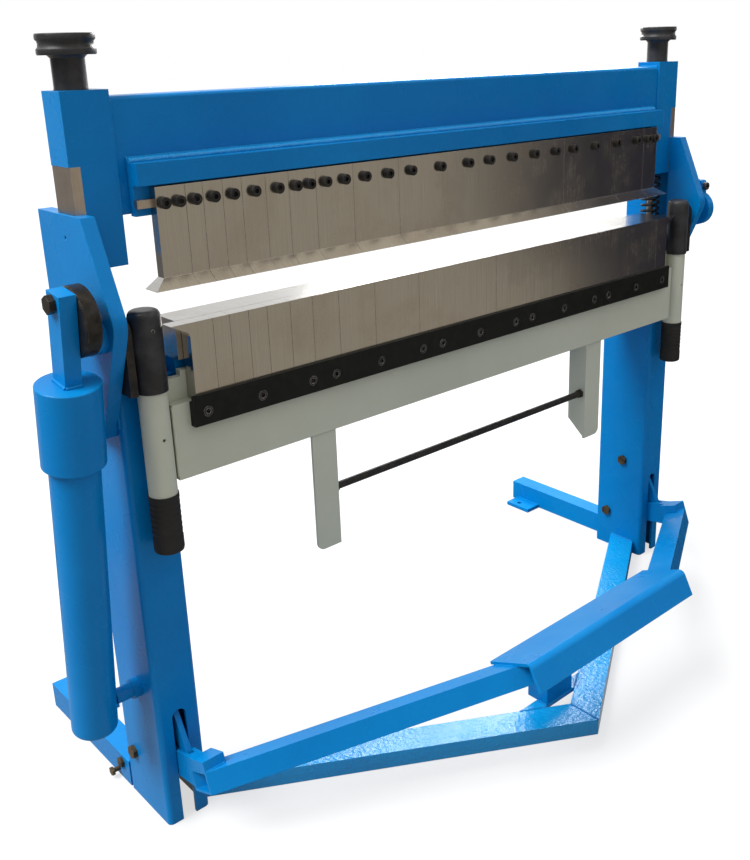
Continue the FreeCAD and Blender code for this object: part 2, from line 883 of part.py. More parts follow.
def end_plate():
    """Right end plate of the apron, stepped at the top and hollowed to fit the handle tube."""
    step_in = half_work - blade_inset
    beam_end = half_work + apron_overhang
    section = [(beam_end, rise(-apron_bottom_drop)), (handle_x, rise(-apron_bottom_drop)),
               (handle_x, rise(-step_drop)), (half_work + segment_gap, rise(-step_drop)),
               (half_work + segment_gap, rise(-backing_top_drop)), (step_in, rise(-backing_top_drop)),
               (step_in, rise(-ledge_drop)), (beam_end, rise(-ledge_drop))]
    plate = prism_y(section, blade_back, apron_back)
    tube = bar(Vector(handle_x, handle_y, rise(-low_grip_bottom_drop)),
               Vector(handle_x, handle_y, rise(top_grip_rise)), handle_radius)
    return plate.cut(tube).cut(grip_room())


def handle_tube():
    """Right handle tube, with a small hole in front; both grips are pushed over its ends."""
    low = rise(-low_grip_bottom_drop + grip_wall_end)
    high = rise(top_grip_rise - grip_wall_end)
    tube = bar(Vector(handle_x, handle_y, low), Vector(handle_x, handle_y, high), handle_radius)
    tube = tube.cut(bar(Vector(handle_x, handle_y, low), Vector(handle_x, handle_y, high), handle_bore))
    hole_at = Vector(handle_x, handle_y, rise(-handle_hole_drop))
    return tube.cut(bar(hole_at, hole_at - Vector(0, handle_radius, 0), handle_hole_radius))


def grip(low, high, radius, closed_top):
    """Sleeve over an end of the handle tube, closed at its outer end."""
    outer = bar(Vector(handle_x, handle_y, low), Vector(handle_x, handle_y, high), radius)
    end_level = high if closed_top else low
    rim = [edge for edge in outer.Edges if edge.Curve.TypeId == "Part::GeomCircle"
           and abs(edge.CenterOfMass.z - end_level) < 1e-6]
    outer = outer.makeFillet(radius / 5, rim)
    bore_low = low if closed_top else low + grip_wall_end
    bore_high = high - grip_wall_end if closed_top else high
    return outer.cut(bar(Vector(handle_x, handle_y, bore_low), Vector(handle_x, handle_y, bore_high),
                         handle_radius + slide_fit))


def top_grip():
    shape = grip(rise(-top_grip_drop), rise(top_grip_rise), top_grip_radius, True)
    screw_at = Vector(handle_x, handle_y, rise(grip_screw_rise))
    return shape.cut(bar(screw_at, screw_at - Vector(0, top_grip_radius, 0), grip_screw_radius + screw_fit))


def low_grip():
    return grip(rise(-low_grip_bottom_drop), rise(-low_grip_top_drop), low_grip_radius, False)


def grip_screw():
    """Small screw that holds the right top grip on the tube."""
    skin = Vector(handle_x, handle_y - handle_radius - slide_fit, rise(grip_screw_rise))
    return bar(skin, Vector(handle_x, handle_y - top_grip_radius, skin.z), grip_screw_radius)


def grip_room():
    """Space that the right top grip takes up, with a little air around it."""
    return bar(Vector(handle_x, handle_y, rise(-top_grip_drop) - screw_fit),
               Vector(handle_x, handle_y, rise(top_grip_rise)), top_grip_radius + screw_fit)


def hinge_arm(shaft_end):
    """Right hinge arm: a web behind the handle tube, a round plate beside it and the hinge shaft."""
    arm_out = column_out - arm_gap
    arm_in = arm_out - arm_thick
    web_top = rise(-arm_web_top_drop)
    web_low = rise(-arm_bottom_drop)
    web = block(half_work + apron_overhang, arm_out, apron_back, apron_back + arm_web, web_low, web_top)
    cheek = bar(Vector(arm_in, 0, bend_height), Vector(arm_out, 0, bend_height), arm_radius)
    leg = block(arm_in, arm_out, -arm_radius, apron_back + arm_web, web_low, bend_height)
    shaft = bar(Vector(arm_in, 0, bend_height), Vector(shaft_end, 0, bend_height), shaft_radius)
    return web.fuse(cheek).fuse(leg).fuse(shaft).cut(grip_room()).removeSplitter()


def hinge_end():
    """Where the right hinge shaft ends, flush with the collar."""
    return plate_out + bush_reach + collar_gap + collar_thick


def disc_in():
    return plate_out + bush_reach + running_gap


def crank_disc():
    """Eccentric disc on the left hinge shaft, which carries the strut's pin."""
    x0 = -disc_in()
    x1 = x0 - disc_thick
    disc = bar(Vector(x0, disc_y, rise(disc_rise)), Vector(x1, disc_y, rise(disc_rise)), disc_radius)
    disc = disc.makeChamfer(2.0, [edge for edge in disc.Edges if edge.Curve.TypeId == "Part::GeomCircle"])
    bore = bar(Vector(x0, 0, bend_height), Vector(x1, 0, bend_height), shaft_radius + shaft_fit)
    hole = bar(Vector(x0, crank_y, rise(crank_rise)), Vector(x1, crank_y, rise(crank_rise)),
               crank_pin_radius + shaft_fit)
    return disc.cut(bore).cut(hole)


def crank_pin():
    """Shouldered bolt through the disc; the strut's bar turns on it between shoulder and head."""
    disc_face = -(disc_in() + disc_thick)
    bar_face = disc_face - crank_shoulder
    head_seat = bar_face - strut_bar_thick - 2 * slide_fit

    def at(x):
        return Vector(x, crank_y, rise(crank_rise))

    pin = bar(at(-disc_in()), at(head_seat), crank_pin_radius)
    pin = pin.fuse(bar(at(disc_face), at(bar_face), crank_shoulder_radius))
    return pin.fuse(hexagon(at(head_seat), Vector(-1, 0, 0), crank_head_size, crank_head_height))


def angle_collar():
    """Split clamping collar on the right hinge shaft, with a lug for its screw."""
    x0 = hinge_end() - collar_thick
    x1 = hinge_end()
    ring = bar(Vector(x0, 0, bend_height), Vector(x1, 0, bend_height), collar_radius)
    half_lug = collar_lug_width / 2
    lug = block(x0, x1, -half_lug, half_lug, bend_height, rise(collar_lug_rise))
    lug = lug.makeFillet(half_lug / 2, [e for e in along(lug, Vector(1, 0, 0))
                                        if e.CenterOfMass.z > bend_height + 1])
    shape = ring.fuse(lug)
    shape = shape.cut(bar(Vector(x0, 0, bend_height), Vector(x1, 0, bend_height), shaft_radius + shaft_fit))
    half_split = collar_split / 2
    shape = shape.cut(block(x0, x1, -half_split, half_split, bend_height, rise(collar_lug_rise)))
    seat = collar_screw_seat()
    return shape.cut(bar(seat, seat + Vector(0, collar_lug_width, 0), screw_shank_radius + screw_fit))


def collar_screw_seat():
    middle = (collar_radius + collar_lug_rise) / 2
    return Vector(hinge_end() - collar_thick / 2, -collar_lug_width / 2, rise(middle))


def apron_screws():
    """Clamping bar screws, the two grip screws and the screw of the angle collar."""
    forward = Vector(0, -1, 0)
    screws = [socket_screw(bar_screw_seat(x), forward, bar_screw_length()) for x in bar_screw_places()]
    return screws + pair(grip_screw()) + [socket_screw(collar_screw_seat(), forward, collar_lug_width)]


def truss_post():
    """Right post below the apron: an angle, its front leg rounded below, its side leg cut aslant."""
    x0 = post_centre - post_width / 2
    x1 = post_centre + post_width / 2
    low = rise(-post_bottom_drop)
    high = rise(-apron_bottom_drop)
    front = block(x0, x1, post_front, post_front + post_wall, low, high)
    corner = [e for e in along(front, Vector(0, 1, 0)) if e.CenterOfMass.x > x1 - 1
              and e.CenterOfMass.z < low + 1]
    front = front.makeFillet(post_corner, corner)
    back = post_front + post_depth
    side = prism_x([(post_front, low), (back, low + post_slope), (back, high), (post_front, high)], x0,
                   x0 + post_wall)
    post = front.fuse(side).removeSplitter()
    return post.cut(bar(Vector(x0, truss_rod_y, rise(-truss_rod_drop)),
                        Vector(x0 + post_wall, truss_rod_y, rise(-truss_rod_drop)),
                        truss_rod_radius + screw_fit))


def truss_rod():
    """Rod between the posts, with a nut against the inside of each."""
    face_x = post_centre - post_width / 2
    end = Vector(face_x + post_wall, truss_rod_y, rise(-truss_rod_drop))
    start = Vector(-end.x, end.y, end.z)
    face = Vector(face_x, end.y, end.z)
    nut = hexagon(face, Vector(-1, 0, 0), truss_nut_size, truss_nut_height)
    nut = nut.cut(bar(face, face - Vector(truss_nut_height, 0, 0), truss_rod_radius + shaft_fit))
    return [bar(start, end, truss_rod_radius)] + pair(nut)


def strut_x():
    """Middle of the strut, on the left."""
    return -(disc_in() + disc_thick + crank_shoulder + slide_fit + strut_bar_thick / 2)


def strut_frame():
    """The crank pin's centre and the direction of the strut, from the pin down to its foot."""
    top = Vector(strut_x(), crank_y, rise(crank_rise))
    foot = Vector(strut_x(), strut_foot_y, strut_foot_height)
    return top, (foot - top).normalize()


def strut_bar():
    """Flat bar that hangs on the crank pin and stands on the strut's cap."""
    top, down = strut_frame()
    side = Vector(0, -down.z, down.y) * (strut_bar_width / 2)
    half = Vector(strut_bar_thick / 2, 0, 0)
    start = top - down * strut_bar_top
    end = top + down * cap_drop
    shape = prism([start + side - half, end + side - half, end - side - half, start - side - half], half * 2)
    return shape.cut(bar(top - half, top + half, crank_pin_radius + shaft_fit))


def strut_cap():
    """Sleeve with a closed top below the bar; the strut's tube moves up and down inside it."""
    top, down = strut_frame()
    start = top + down * cap_drop
    end = start + down * cap_length
    shape = bar(start, end, cap_radius)
    rims = [edge for edge in shape.Edges if edge.Curve.TypeId == "Part::GeomCircle"]
    shape = shape.makeChamfer(1.5, rims)
    return shape.cut(bar(start + down * cap_top_thick, end, strut_tube_radius + shaft_fit))


def strut_tube():
    """Round tube below the cap, closed at its foot, with room above it for the whole stroke."""
    top, down = strut_frame()
    start = top + down * (cap_drop + cap_top_thick + strut_stroke_room + strut_stroke)
    foot = Vector(strut_x(), strut_foot_y, strut_foot_height)
    shape = bar(start, foot, strut_tube_radius)
    rim = [edge for edge in shape.Edges if edge.Curve.TypeId == "Part::GeomCircle"
           and (edge.CenterOfMass - foot).Length < 1]
    shape = shape.makeFillet(strut_tube_wall * 2, rim)
    return shape.cut(bar(start, foot - down * strut_tube_wall * 2, strut_tube_radius - strut_tube_wall))


def raised(shape):
    """Turn a piece of the pedal from its pressed place up to its rest."""
    return shape.rotate(Vector(0, pivot_y, pivot_height), Vector(1, 0, 0), -pedal_raise)


def lever_block_out():
    """Outer side of the right lever, which the pedal's tube ends flush with."""
    return column_mid + lever_thick / 2


def pedal_lever():
    """Right lever: a forked plate in the column's slot, a block notched for the tube, a link pin."""
    half = lever_thick / 2
    back = lever_front_reach - lever_block_depth
    boss = lever_boss_radius

    def at(reach, drop):
        return (pivot_y - reach, pivot_height - drop)

    outline = [at(-boss / 3, -boss), at(0, -boss), at(back, 0), at(lever_front_reach, 0),
               at(lever_front_reach, lever_block_drop), at(back, lever_block_drop), at(0, boss),
               at(-boss / 3, boss)]
    plate = prism_x(outline, column_mid - half, column_mid + half)
    centre = Vector(column_mid, pivot_y, pivot_height)
    reach_x = Vector(half, 0, 0)
    plate = plate.fuse(bar(centre - reach_x, centre + reach_x, boss))
    front_block = block(lever_block_out() - lever_block_width, lever_block_out(),
                        pivot_y - lever_front_reach, pivot_y - back, pivot_height - lever_block_drop,
                        pivot_height)
    plate = plate.fuse(front_block).cut(pedal_arm(0))
    fork = block(column_mid - link_thick / 2 - slide_fit, column_mid + link_thick / 2 + slide_fit,
                 pivot_y - lever_fork_front, pivot_y - lever_fork_back, 0, rise(0))
    pressed_pin = Vector(column_mid, link_pin().y, pivot_height - beam_travel / 2)
    pin = bar(pressed_pin - reach_x, pressed_pin + reach_x, lever_pin_radius())
    hole = bar(centre - reach_x, centre + reach_x, pivot_bolt_radius + shaft_fit)
    return raised(plate.cut(fork).fuse(pin).cut(hole).removeSplitter())


def pedal_arm(wall):
    """Pressed arm of the pedal as a solid, smaller all round by the given wall."""
    outer_x = lever_block_out()
    inner_x = pad_half - pad_tube_overlap
    pad_front = pivot_y - pad_reach + pad_thick
    slope = (pad_reach - pad_thick - pad_tube_overlap - lever_front_reach) / (outer_x - pad_half)
    width_y = pedal_tube_width * math.hypot(1, slope)
    wall_y = wall * math.hypot(1, slope)
    fall = pad_fall / (pad_width - pad_thick)
    slant = pedal_tube_drop - pad_thick - pad_drop - (pad_reach - lever_front_reach) * fall

    def section(x, drop):
        near = pivot_y - lever_front_reach - (outer_x - x) * slope
        corners = []
        for y, lift in ((near + wall_y, pedal_tube_height - wall), (near + width_y - wall_y,
                        pedal_tube_height - wall), (near + width_y - wall_y, wall), (near + wall_y, wall)):
            level = pivot_height - pad_drop - pad_thick - (y - pad_front) * fall - drop
            corners.append(Vector(x, y, level - lift))
        return Part.makePolygon(corners + corners[:1])

    slanted = Part.makeLoft([section(outer_x, slant), section(pad_half, 0)], True, True)
    level = Part.makeLoft([section(pad_half, 0), section(inner_x, 0)], True, True)
    return slanted.fuse(level)


def pedal_tube():
    """Right arm of the pedal: a tube from the outside of the lever that runs in under the pad."""
    return raised(pedal_arm(0).cut(pedal_arm(pedal_tube_wall)).removeSplitter())


def pedal_pad():
    """Bent plate across the front that the operator steps on."""
    top = pivot_height - pad_drop
    front = pivot_y - pad_reach
    back = front + pad_width
    section = [(front - pad_flare, top - pad_face), (front - pad_flare + pad_thick, top - pad_face),
               (front + pad_thick, top - pad_thick), (back, top - pad_fall - pad_thick),
               (back, top - pad_fall), (front, top)]
    pad = prism_x(section, -pad_half, pad_half)
    bend = [e for e in along(pad, Vector(1, 0, 0)) if e.CenterOfMass.y < front + 1
            and e.CenterOfMass.z > top - 1]
    pad = pad.makeFillet(pad_bend_radius, bend)
    return raised(pad)


def assembly():
    """All sub-parts by name, each a list of solids."""
    parts = {
        "left_column": [mirrored(column())],
        "right_column": [column()],
        "left_side_plate": [mirrored(side_plate())],
        "right_side_plate": [side_plate()],
        "spring_seats": pair(spring_seat()),
        "bed_beam": [bed_beam()],
        "bed_plate": [bed_plate()],
        "floor_bars": pair(floor_bar()) + [corner_plate()],
        "pedal_stop": [pedal_stop()],
        "rear_feet": pair(rear_foot()) + pair(anchor_plate()),
        "strut_anchor_pin": [strut_anchor_pin()],
        "hinge_bushes": pair(hinge_bush()),
        "column_bolts": column_bolts() + [mirrored(bolt) for bolt in column_bolts()],
        "foot_screws": foot_screws(),
        "clamp_beam": [clamp_beam()],
        "beam_lip": [beam_lip()],
        "finger_bar": [finger_bar()],
        "finger_key": [finger_key()],
        "left_end_block": [mirrored(end_block())],
        "right_end_block": [end_block()],
        "slide_bars": pair(slide_bar()),
        "finger_screws": finger_screws(),
        "pull_rods": pair(pull_rod()),
        "pull_links": pair(pull_link()),
        "left_knob": [mirrored(knob())],
        "right_knob": [knob()],
        "springs": pair(spring()),
        "apron_beam": [apron_beam()],
        "apron_blades": apron_blades(),
        "clamp_bars": clamp_bars(),
        "apron_screws": apron_screws(),
        "end_plates": pair(end_plate()),
        "handle_tubes": pair(handle_tube()),
        "top_grips": pair(top_grip()),
        "lower_grips": pair(low_grip()),
        "hinge_arms": [mirrored(hinge_arm(disc_in() + disc_thick)), hinge_arm(hinge_end())],
        "truss_posts": pair(truss_post()),
        "truss_rod": truss_rod(),
        "crank_disc": [crank_disc()],
        "crank_pin": [crank_pin()],
        "angle_collar": [angle_collar()],
        "strut_bar": [strut_bar()],
        "strut_cap": [strut_cap()],
        "strut_tube": [strut_tube()],
        "pedal_pad": [pedal_pad()],
        "pedal_tubes": pair(pedal_tube()),
        "pedal_levers": pair(pedal_lever()),
    }
    for index in range(len(finger_widths)):
        parts["finger_%02d" % (index + 1)] = [finger(index)]
    return parts


os.makedirs("parts", exist_ok=True)
for name, solids in assembly().items():
    shape = Part.makeCompound(solids)
    shape.translate(Vector(0, -anchor_hole_y, 0))
    shape.exportStep("parts/" + name + ".step")
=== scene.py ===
# Foot clamped box and pan folding brake: the looks of its pieces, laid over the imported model.
# Metres, in the model's own frame: X along the work, Y away from the operator, Z up.
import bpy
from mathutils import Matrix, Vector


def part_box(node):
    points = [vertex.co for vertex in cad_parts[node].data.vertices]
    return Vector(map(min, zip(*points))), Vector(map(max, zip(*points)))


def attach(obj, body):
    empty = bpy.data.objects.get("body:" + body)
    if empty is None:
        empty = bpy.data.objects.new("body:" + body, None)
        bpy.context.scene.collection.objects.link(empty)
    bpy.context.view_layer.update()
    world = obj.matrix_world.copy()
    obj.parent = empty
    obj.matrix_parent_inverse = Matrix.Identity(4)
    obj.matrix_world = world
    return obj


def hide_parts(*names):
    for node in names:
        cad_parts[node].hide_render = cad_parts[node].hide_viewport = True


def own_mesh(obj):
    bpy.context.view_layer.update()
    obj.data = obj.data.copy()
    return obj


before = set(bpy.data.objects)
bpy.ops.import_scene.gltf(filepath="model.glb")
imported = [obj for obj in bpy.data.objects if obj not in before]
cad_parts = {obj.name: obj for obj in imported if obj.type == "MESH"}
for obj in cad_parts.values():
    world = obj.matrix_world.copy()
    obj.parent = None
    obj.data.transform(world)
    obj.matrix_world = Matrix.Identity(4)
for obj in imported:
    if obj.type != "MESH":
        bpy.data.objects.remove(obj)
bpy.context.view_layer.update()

import math
import bpy
from mathutils import Matrix, Vector


# ---- Columns ---------------------------------------------------------------------------
# Two uprights of rounded square tube, slotted in front for the pedal's levers.
# Mild steel, sprayed with a glossy blue machine enamel that dries in a light orange peel
# and thins over the edges, where a lighter blue is also a painted highlight. The bed, the floor
# frame and the beam have the same coat; the floor bars get a lighter, lumpier copy of it, whose
# lighter blue is painted light.

def new_group(name, takes, gives):
    """A shader node group with its named inputs and outputs."""
    group = bpy.data.node_groups.new(name, "ShaderNodeTree")
    for label, value in takes.items():
        kind = "NodeSocketColor" if isinstance(value, tuple) else "NodeSocketFloat"
        group.interface.new_socket(label, in_out="INPUT", socket_type=kind).default_value = value
    for label, kind in gives.items():
        group.interface.new_socket(label, in_out="OUTPUT", socket_type=kind)
    return group, group.nodes.new("NodeGroupInput").outputs, group.nodes.new("NodeGroupOutput").inputs


def node(tree, kind, inputs=None, **settings):
    """Adds a shader node. A socket given as an input is linked, a number or colour is set."""
    made = tree.nodes.new("ShaderNode" + kind)
    for key, value in settings.items():
        setattr(made, key, value)
    for key, value in (inputs or {}).items():
        if isinstance(value, bpy.types.NodeSocket):
            tree.links.new(value, made.inputs[key])
        else:
            made.inputs[key].default_value = value
    return made


def place_group(tree, group, **inputs):
    """Puts a node group in a material, with its inputs given by name."""
    made = tree.nodes.new("ShaderNodeGroup")
    made.node_tree = group
    for key, value in inputs.items():
        made.inputs[key.replace("_", " ")].default_value = value
    return made


def colour_mix(tree, share, first, second):
    """Colour between two others, by a share that can be a socket."""
    made = node(tree, "Mix", {0: share, 6: first, 7: second}, data_type="RGBA")
    return made.outputs[2]


def ramp_value(tree, value, low, high, to_low=0.0, to_high=1.0):
    """Stretches a value's range from low..high to another range, and clamps it."""
    made = node(tree, "MapRange", {"Value": value, "From Min": low, "From Max": high,
                                   "To Min": to_low, "To Max": to_high})
    return made.outputs[0]


# Where an edge is sharp, paint thins and handling rubs it: patchy, never an even line. The
# enamels and the apron screws also use this mask for a painted highlight along their edges.
edge_wear, taken, given = new_group("edge_wear", {"Width": 0.002, "Patch size": 0.02},
                                    {"Edge": "NodeSocketFloat"})
rounded = node(edge_wear, "Bevel", {"Radius": taken["Width"]}, samples=4)
face = node(edge_wear, "NewGeometry")
bend = node(edge_wear, "VectorMath", {0: rounded.outputs[0], 1: face.outputs["Normal"]},
            operation="DOT_PRODUCT")
place = node(edge_wear, "TexCoord")
per_metre = node(edge_wear, "Math", {0: 1.0, 1: taken["Patch size"]}, operation="DIVIDE")
patches = node(edge_wear, "TexNoise", {"Vector": place.outputs["Object"], "Scale": per_metre.outputs[0],
                                       "Detail": 5.0, "Roughness": 0.65})
edge_line = ramp_value(edge_wear, bend.outputs["Value"], 0.985, 0.80)
patch_mask = ramp_value(edge_wear, patches.outputs[0], 0.42, 0.62)
both = node(edge_wear, "Math", {0: edge_line, 1: patch_mask}, operation="MULTIPLY")
edge_wear.links.new(both.outputs[0], given["Edge"])

# Orange peel: soft lumps of sprayed enamel, with a finer grain between them.
orange_peel, taken, given = new_group("orange_peel", {"Lump size": 0.004, "Fine share": 0.3},
                                      {"Height": "NodeSocketFloat"})
place = node(orange_peel, "TexCoord")
per_metre = node(orange_peel, "Math", {0: 1.0, 1: taken["Lump size"]}, operation="DIVIDE")
lumps = node(orange_peel, "TexNoise", {"Vector": place.outputs["Object"], "Scale": per_metre.outputs[0],
                                       "Detail": 1.0})
finer = node(orange_peel, "Math", {0: per_metre.outputs[0], 1: 3.7}, operation="MULTIPLY")
grains = node(orange_peel, "TexNoise", {"Vector": place.outputs["Object"], "Scale": finer.outputs[0],
                                        "Detail": 2.0})
peel = node(orange_peel, "Mix", {0: taken["Fine share"], 2: lumps.outputs[0], 3: grains.outputs[0]})
orange_peel.links.new(peel.outputs[0], given["Height"])

# Workshop dust: settles on what faces up, in clouds.
dust, taken, given = new_group("dust", {"Amount": 0.5, "Cloud size": 0.12}, {"Dust": "NodeSocketFloat"})
place = node(dust, "TexCoord")
face = node(dust, "NewGeometry")
upward = node(dust, "SeparateXYZ", {0: face.outputs["Normal"]})
per_metre = node(dust, "Math", {0: 1.0, 1: taken["Cloud size"]}, operation="DIVIDE")
clouds = node(dust, "TexNoise", {"Vector": place.outputs["Object"], "Scale": per_metre.outputs[0],
                                 "Detail": 6.0, "Roughness": 0.7})
top_mask = ramp_value(dust, upward.outputs["Z"], 0.45, 0.95)
cloud_mask = ramp_value(dust, clouds.outputs[0], 0.40, 0.70)
settled = node(dust, "Math", {0: top_mask, 1: cloud_mask}, operation="MULTIPLY")
scaled = node(dust, "Math", {0: settled.outputs[0], 1: taken["Amount"]}, operation="MULTIPLY")
dust.links.new(scaled.outputs[0], given["Dust"])


def new_material(name):
    """An empty material with its shader, and the place on the object that its patterns read."""
    made = bpy.data.materials.new(name)
    made.use_nodes = True
    tree = made.node_tree
    shader = tree.nodes["Principled BSDF"]
    return made, tree, shader, node(tree, "TexCoord").outputs["Object"]


def rounded_bump(tree, shader, height, depth, radius):
    """Feeds the shader's normal: a rounded edge of that radius under a relief of that depth."""
    soft_edge = node(tree, "Bevel", {"Radius": radius}, samples=4)
    relief = node(tree, "Bump", {"Height": height, "Distance": depth, "Strength": 0.6,
                                 "Normal": soft_edge.outputs[0]})
    tree.links.new(relief.outputs[0], shader.inputs["Normal"])


def enamel(name, colour, deeper, thin_and_highlight, dusty, gloss, shine, lump, depth):
    """Sprayed enamel: two close tones in clouds, thinner paint over the edges in a lighter colour that is
    also a painted highlight, dust on top.
    """
    made, tree, shader, at = new_material(name)
    tone = node(tree, "TexNoise", {"Vector": at, "Scale": 3.0, "Detail": 5.0, "Roughness": 0.6})
    worn = place_group(tree, edge_wear, Width=0.0022, Patch_size=0.03)
    fallen = place_group(tree, dust, Amount=0.22, Cloud_size=0.10)
    body = colour_mix(tree, ramp_value(tree, tone.outputs[0], 0.35, 0.65), colour, deeper)
    # The edges get a lighter colour: thinner paint, and also a painted highlight along them.
    rubbed = node(tree, "Math", {0: worn.outputs["Edge"], 1: 0.55}, operation="MULTIPLY")
    edged = colour_mix(tree, rubbed.outputs[0], body, thin_and_highlight)
    tree.links.new(colour_mix(tree, fallen.outputs["Dust"], edged, dusty), shader.inputs["Base Color"])
    sheen = node(tree, "TexNoise", {"Vector": at, "Scale": 14.0, "Detail": 3.0})
    dry = ramp_value(tree, sheen.outputs[0], 0.3, 0.7, gloss - 0.05, gloss + 0.07)
    matt = node(tree, "Math", {0: fallen.outputs["Dust"], 1: 0.5}, operation="MULTIPLY")
    rough = node(tree, "Math", {0: dry, 1: matt.outputs[0]}, operation="ADD")
    tree.links.new(rough.outputs[0], shader.inputs["Roughness"])
    skin = place_group(tree, orange_peel, Lump_size=lump, Fine_share=0.25)
    rounded_bump(tree, shader, skin.outputs["Height"], depth, 0.0012)
    shader.inputs["Specular IOR Level"].default_value = shine
    return made


def dress(material, *names):
    """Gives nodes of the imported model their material."""
    for name in names:
        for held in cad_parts[name].material_slots:
            held.material = material


blue_enamel = enamel("blue_enamel", (0.0003, 0.210, 0.55, 1), (0.0003, 0.176, 0.49, 1),
                     (0.02, 0.37, 0.74, 1), (0.02, 0.27, 0.54, 1), 0.27, 0.15, 0.0045, 0.0004)
dress(blue_enamel, "left_column", "right_column")


# ---- Side plates and spring seats --------------------------------------------------------
# Thick plates with a pointed nose, flame cut, ground along the cut and welded to the outer wall
# of each column; a block on top of each column seats the spring. Same enamel, over the welds.

dress(blue_enamel, "left_side_plate", "right_side_plate", "spring_seats")


def lay(piece, name, body, material, to=(0, 0, 0), turn=None):
    """Moves a finished mesh to its place in the frame, names it and gives it its body and finish."""
    bpy.ops.object.select_all(action="DESELECT")
    piece.select_set(True)
    bpy.context.view_layer.objects.active = piece
    piece.matrix_world = Matrix.Translation(to) @ (turn.to_matrix().to_4x4() if turn else Matrix())
    bpy.ops.object.transform_apply(location=True, rotation=True, scale=True)
    piece.name = piece.data.name = name
    piece.data.materials.clear()
    piece.data.materials.append(material)
    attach(piece, body)
    return piece


ripple_pitch = 0.0055


def weld_run(name, body, start, end, size, material=blue_enamel):
    """A run of weld metal in a corner: ripples of a half sunk bead, painted over."""
    start, end = Vector(start), Vector(end)
    run = end - start
    ripples = max(3, round(run.length / ripple_pitch))
    step = run.length / ripples
    bpy.ops.object.select_all(action="DESELECT")
    bpy.ops.mesh.primitive_circle_add(vertices=8, radius=size * 0.82, fill_type="NGON")
    bead = bpy.context.object
    bpy.ops.object.mode_set(mode="EDIT")
    bpy.ops.mesh.select_all(action="SELECT")
    for rise, swell in ((0.30, 1.18), (0.35, 1.03), (0.35, 0.8228)):
        bpy.ops.mesh.extrude_region_move(TRANSFORM_OT_translate={"value": (0, 0, step * rise)})
        bpy.ops.transform.resize(value=(swell, swell, 1), center_override=(0, 0, 0))
    bpy.ops.mesh.select_all(action="DESELECT")
    bpy.ops.object.mode_set(mode="OBJECT")
    for flat in bead.data.polygons:
        flat.select = abs(flat.normal.z) > 0.99
    bpy.ops.object.mode_set(mode="EDIT")
    bpy.ops.mesh.delete(type="ONLY_FACE")
    bpy.ops.object.mode_set(mode="OBJECT")
    bpy.ops.object.modifier_add(type="ARRAY")
    rows = bead.modifiers[-1]
    rows.count = ripples
    rows.use_relative_offset = False
    rows.use_constant_offset = True
    rows.constant_offset_displace = (0, 0, step)
    rows.use_merge_vertices = True
    rows.merge_threshold = 0.0002
    bpy.ops.object.modifier_apply(modifier=rows.name)
    bpy.ops.object.mode_set(mode="EDIT")
    bpy.ops.mesh.select_all(action="SELECT")
    bpy.ops.mesh.fill_holes(sides=8)
    bpy.ops.mesh.select_all(action="SELECT")
    bpy.ops.mesh.normals_make_consistent(inside=False)
    bpy.ops.object.mode_set(mode="OBJECT")
    bpy.ops.object.shade_smooth_by_angle(angle=math.radians(60))
    return lay(bead, name, body, material, start, run.to_track_quat("Z", "Y"))


def weld_pair(name, body, start, end, size, material=blue_enamel):
    """The same weld on the left and on the right; its ends are given for the right."""
    for side, word in ((-1, "left"), (1, "right")):
        weld_run(f"{word}_{name}", body, (side * start[0], *start[1:]), (side * end[0], *end[1:]), size,
                 material)


weld_top = 0.812
for side, word in ((-1, "left"), (1, "right")):
    low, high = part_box(word + "_side_plate")
    inner_x = low.x if side > 0 else high.x
    for spot, face_y, weld_foot in (("front", -0.4216, 0.748), ("back", -0.2836, 0.738)):
        weld_run(f"{word}_plate_weld_{spot}", "frame", (inner_x, face_y, weld_foot),
                 (inner_x, face_y, weld_top), 0.003)


# ---- Bed ---------------------------------------------------------------------------------
# A bare steel bar on a box beam between the columns: its top is the table that the sheet lies on.
# The bar is ground on all faces and left bright under a film of oil; the box beam is enamelled.

# Grinding lines: fine scratches that run along Y and Z, of uneven depth.
ground_lines, taken, given = new_group("ground_lines", {"Line width": 0.0006, "Run": 0.09},
                                       {"Line": "NodeSocketFloat", "Stain": "NodeSocketFloat"})
place = node(ground_lines, "TexCoord")
across = node(ground_lines, "Math", {0: 1.0, 1: taken["Line width"]}, operation="DIVIDE")
lengthways = node(ground_lines, "Math", {0: 1.0, 1: taken["Run"]}, operation="DIVIDE")
stretch = node(ground_lines, "CombineXYZ", {0: across.outputs[0], 1: lengthways.outputs[0],
                                            2: lengthways.outputs[0]})
stretched = node(ground_lines, "VectorMath", {0: place.outputs["Object"], 1: stretch.outputs[0]},
                 operation="MULTIPLY")
lines = node(ground_lines, "TexNoise", {"Vector": stretched.outputs[0], "Scale": 1.0, "Detail": 4.0,
                                        "Roughness": 0.7})
stains = node(ground_lines, "TexNoise", {"Vector": place.outputs["Object"], "Scale": 9.0, "Detail": 6.0,
                                         "Roughness": 0.62})
ground_lines.links.new(lines.outputs[0], given["Line"])
ground_lines.links.new(ramp_value(ground_lines, stains.outputs[0], 0.48, 0.72), given["Stain"])


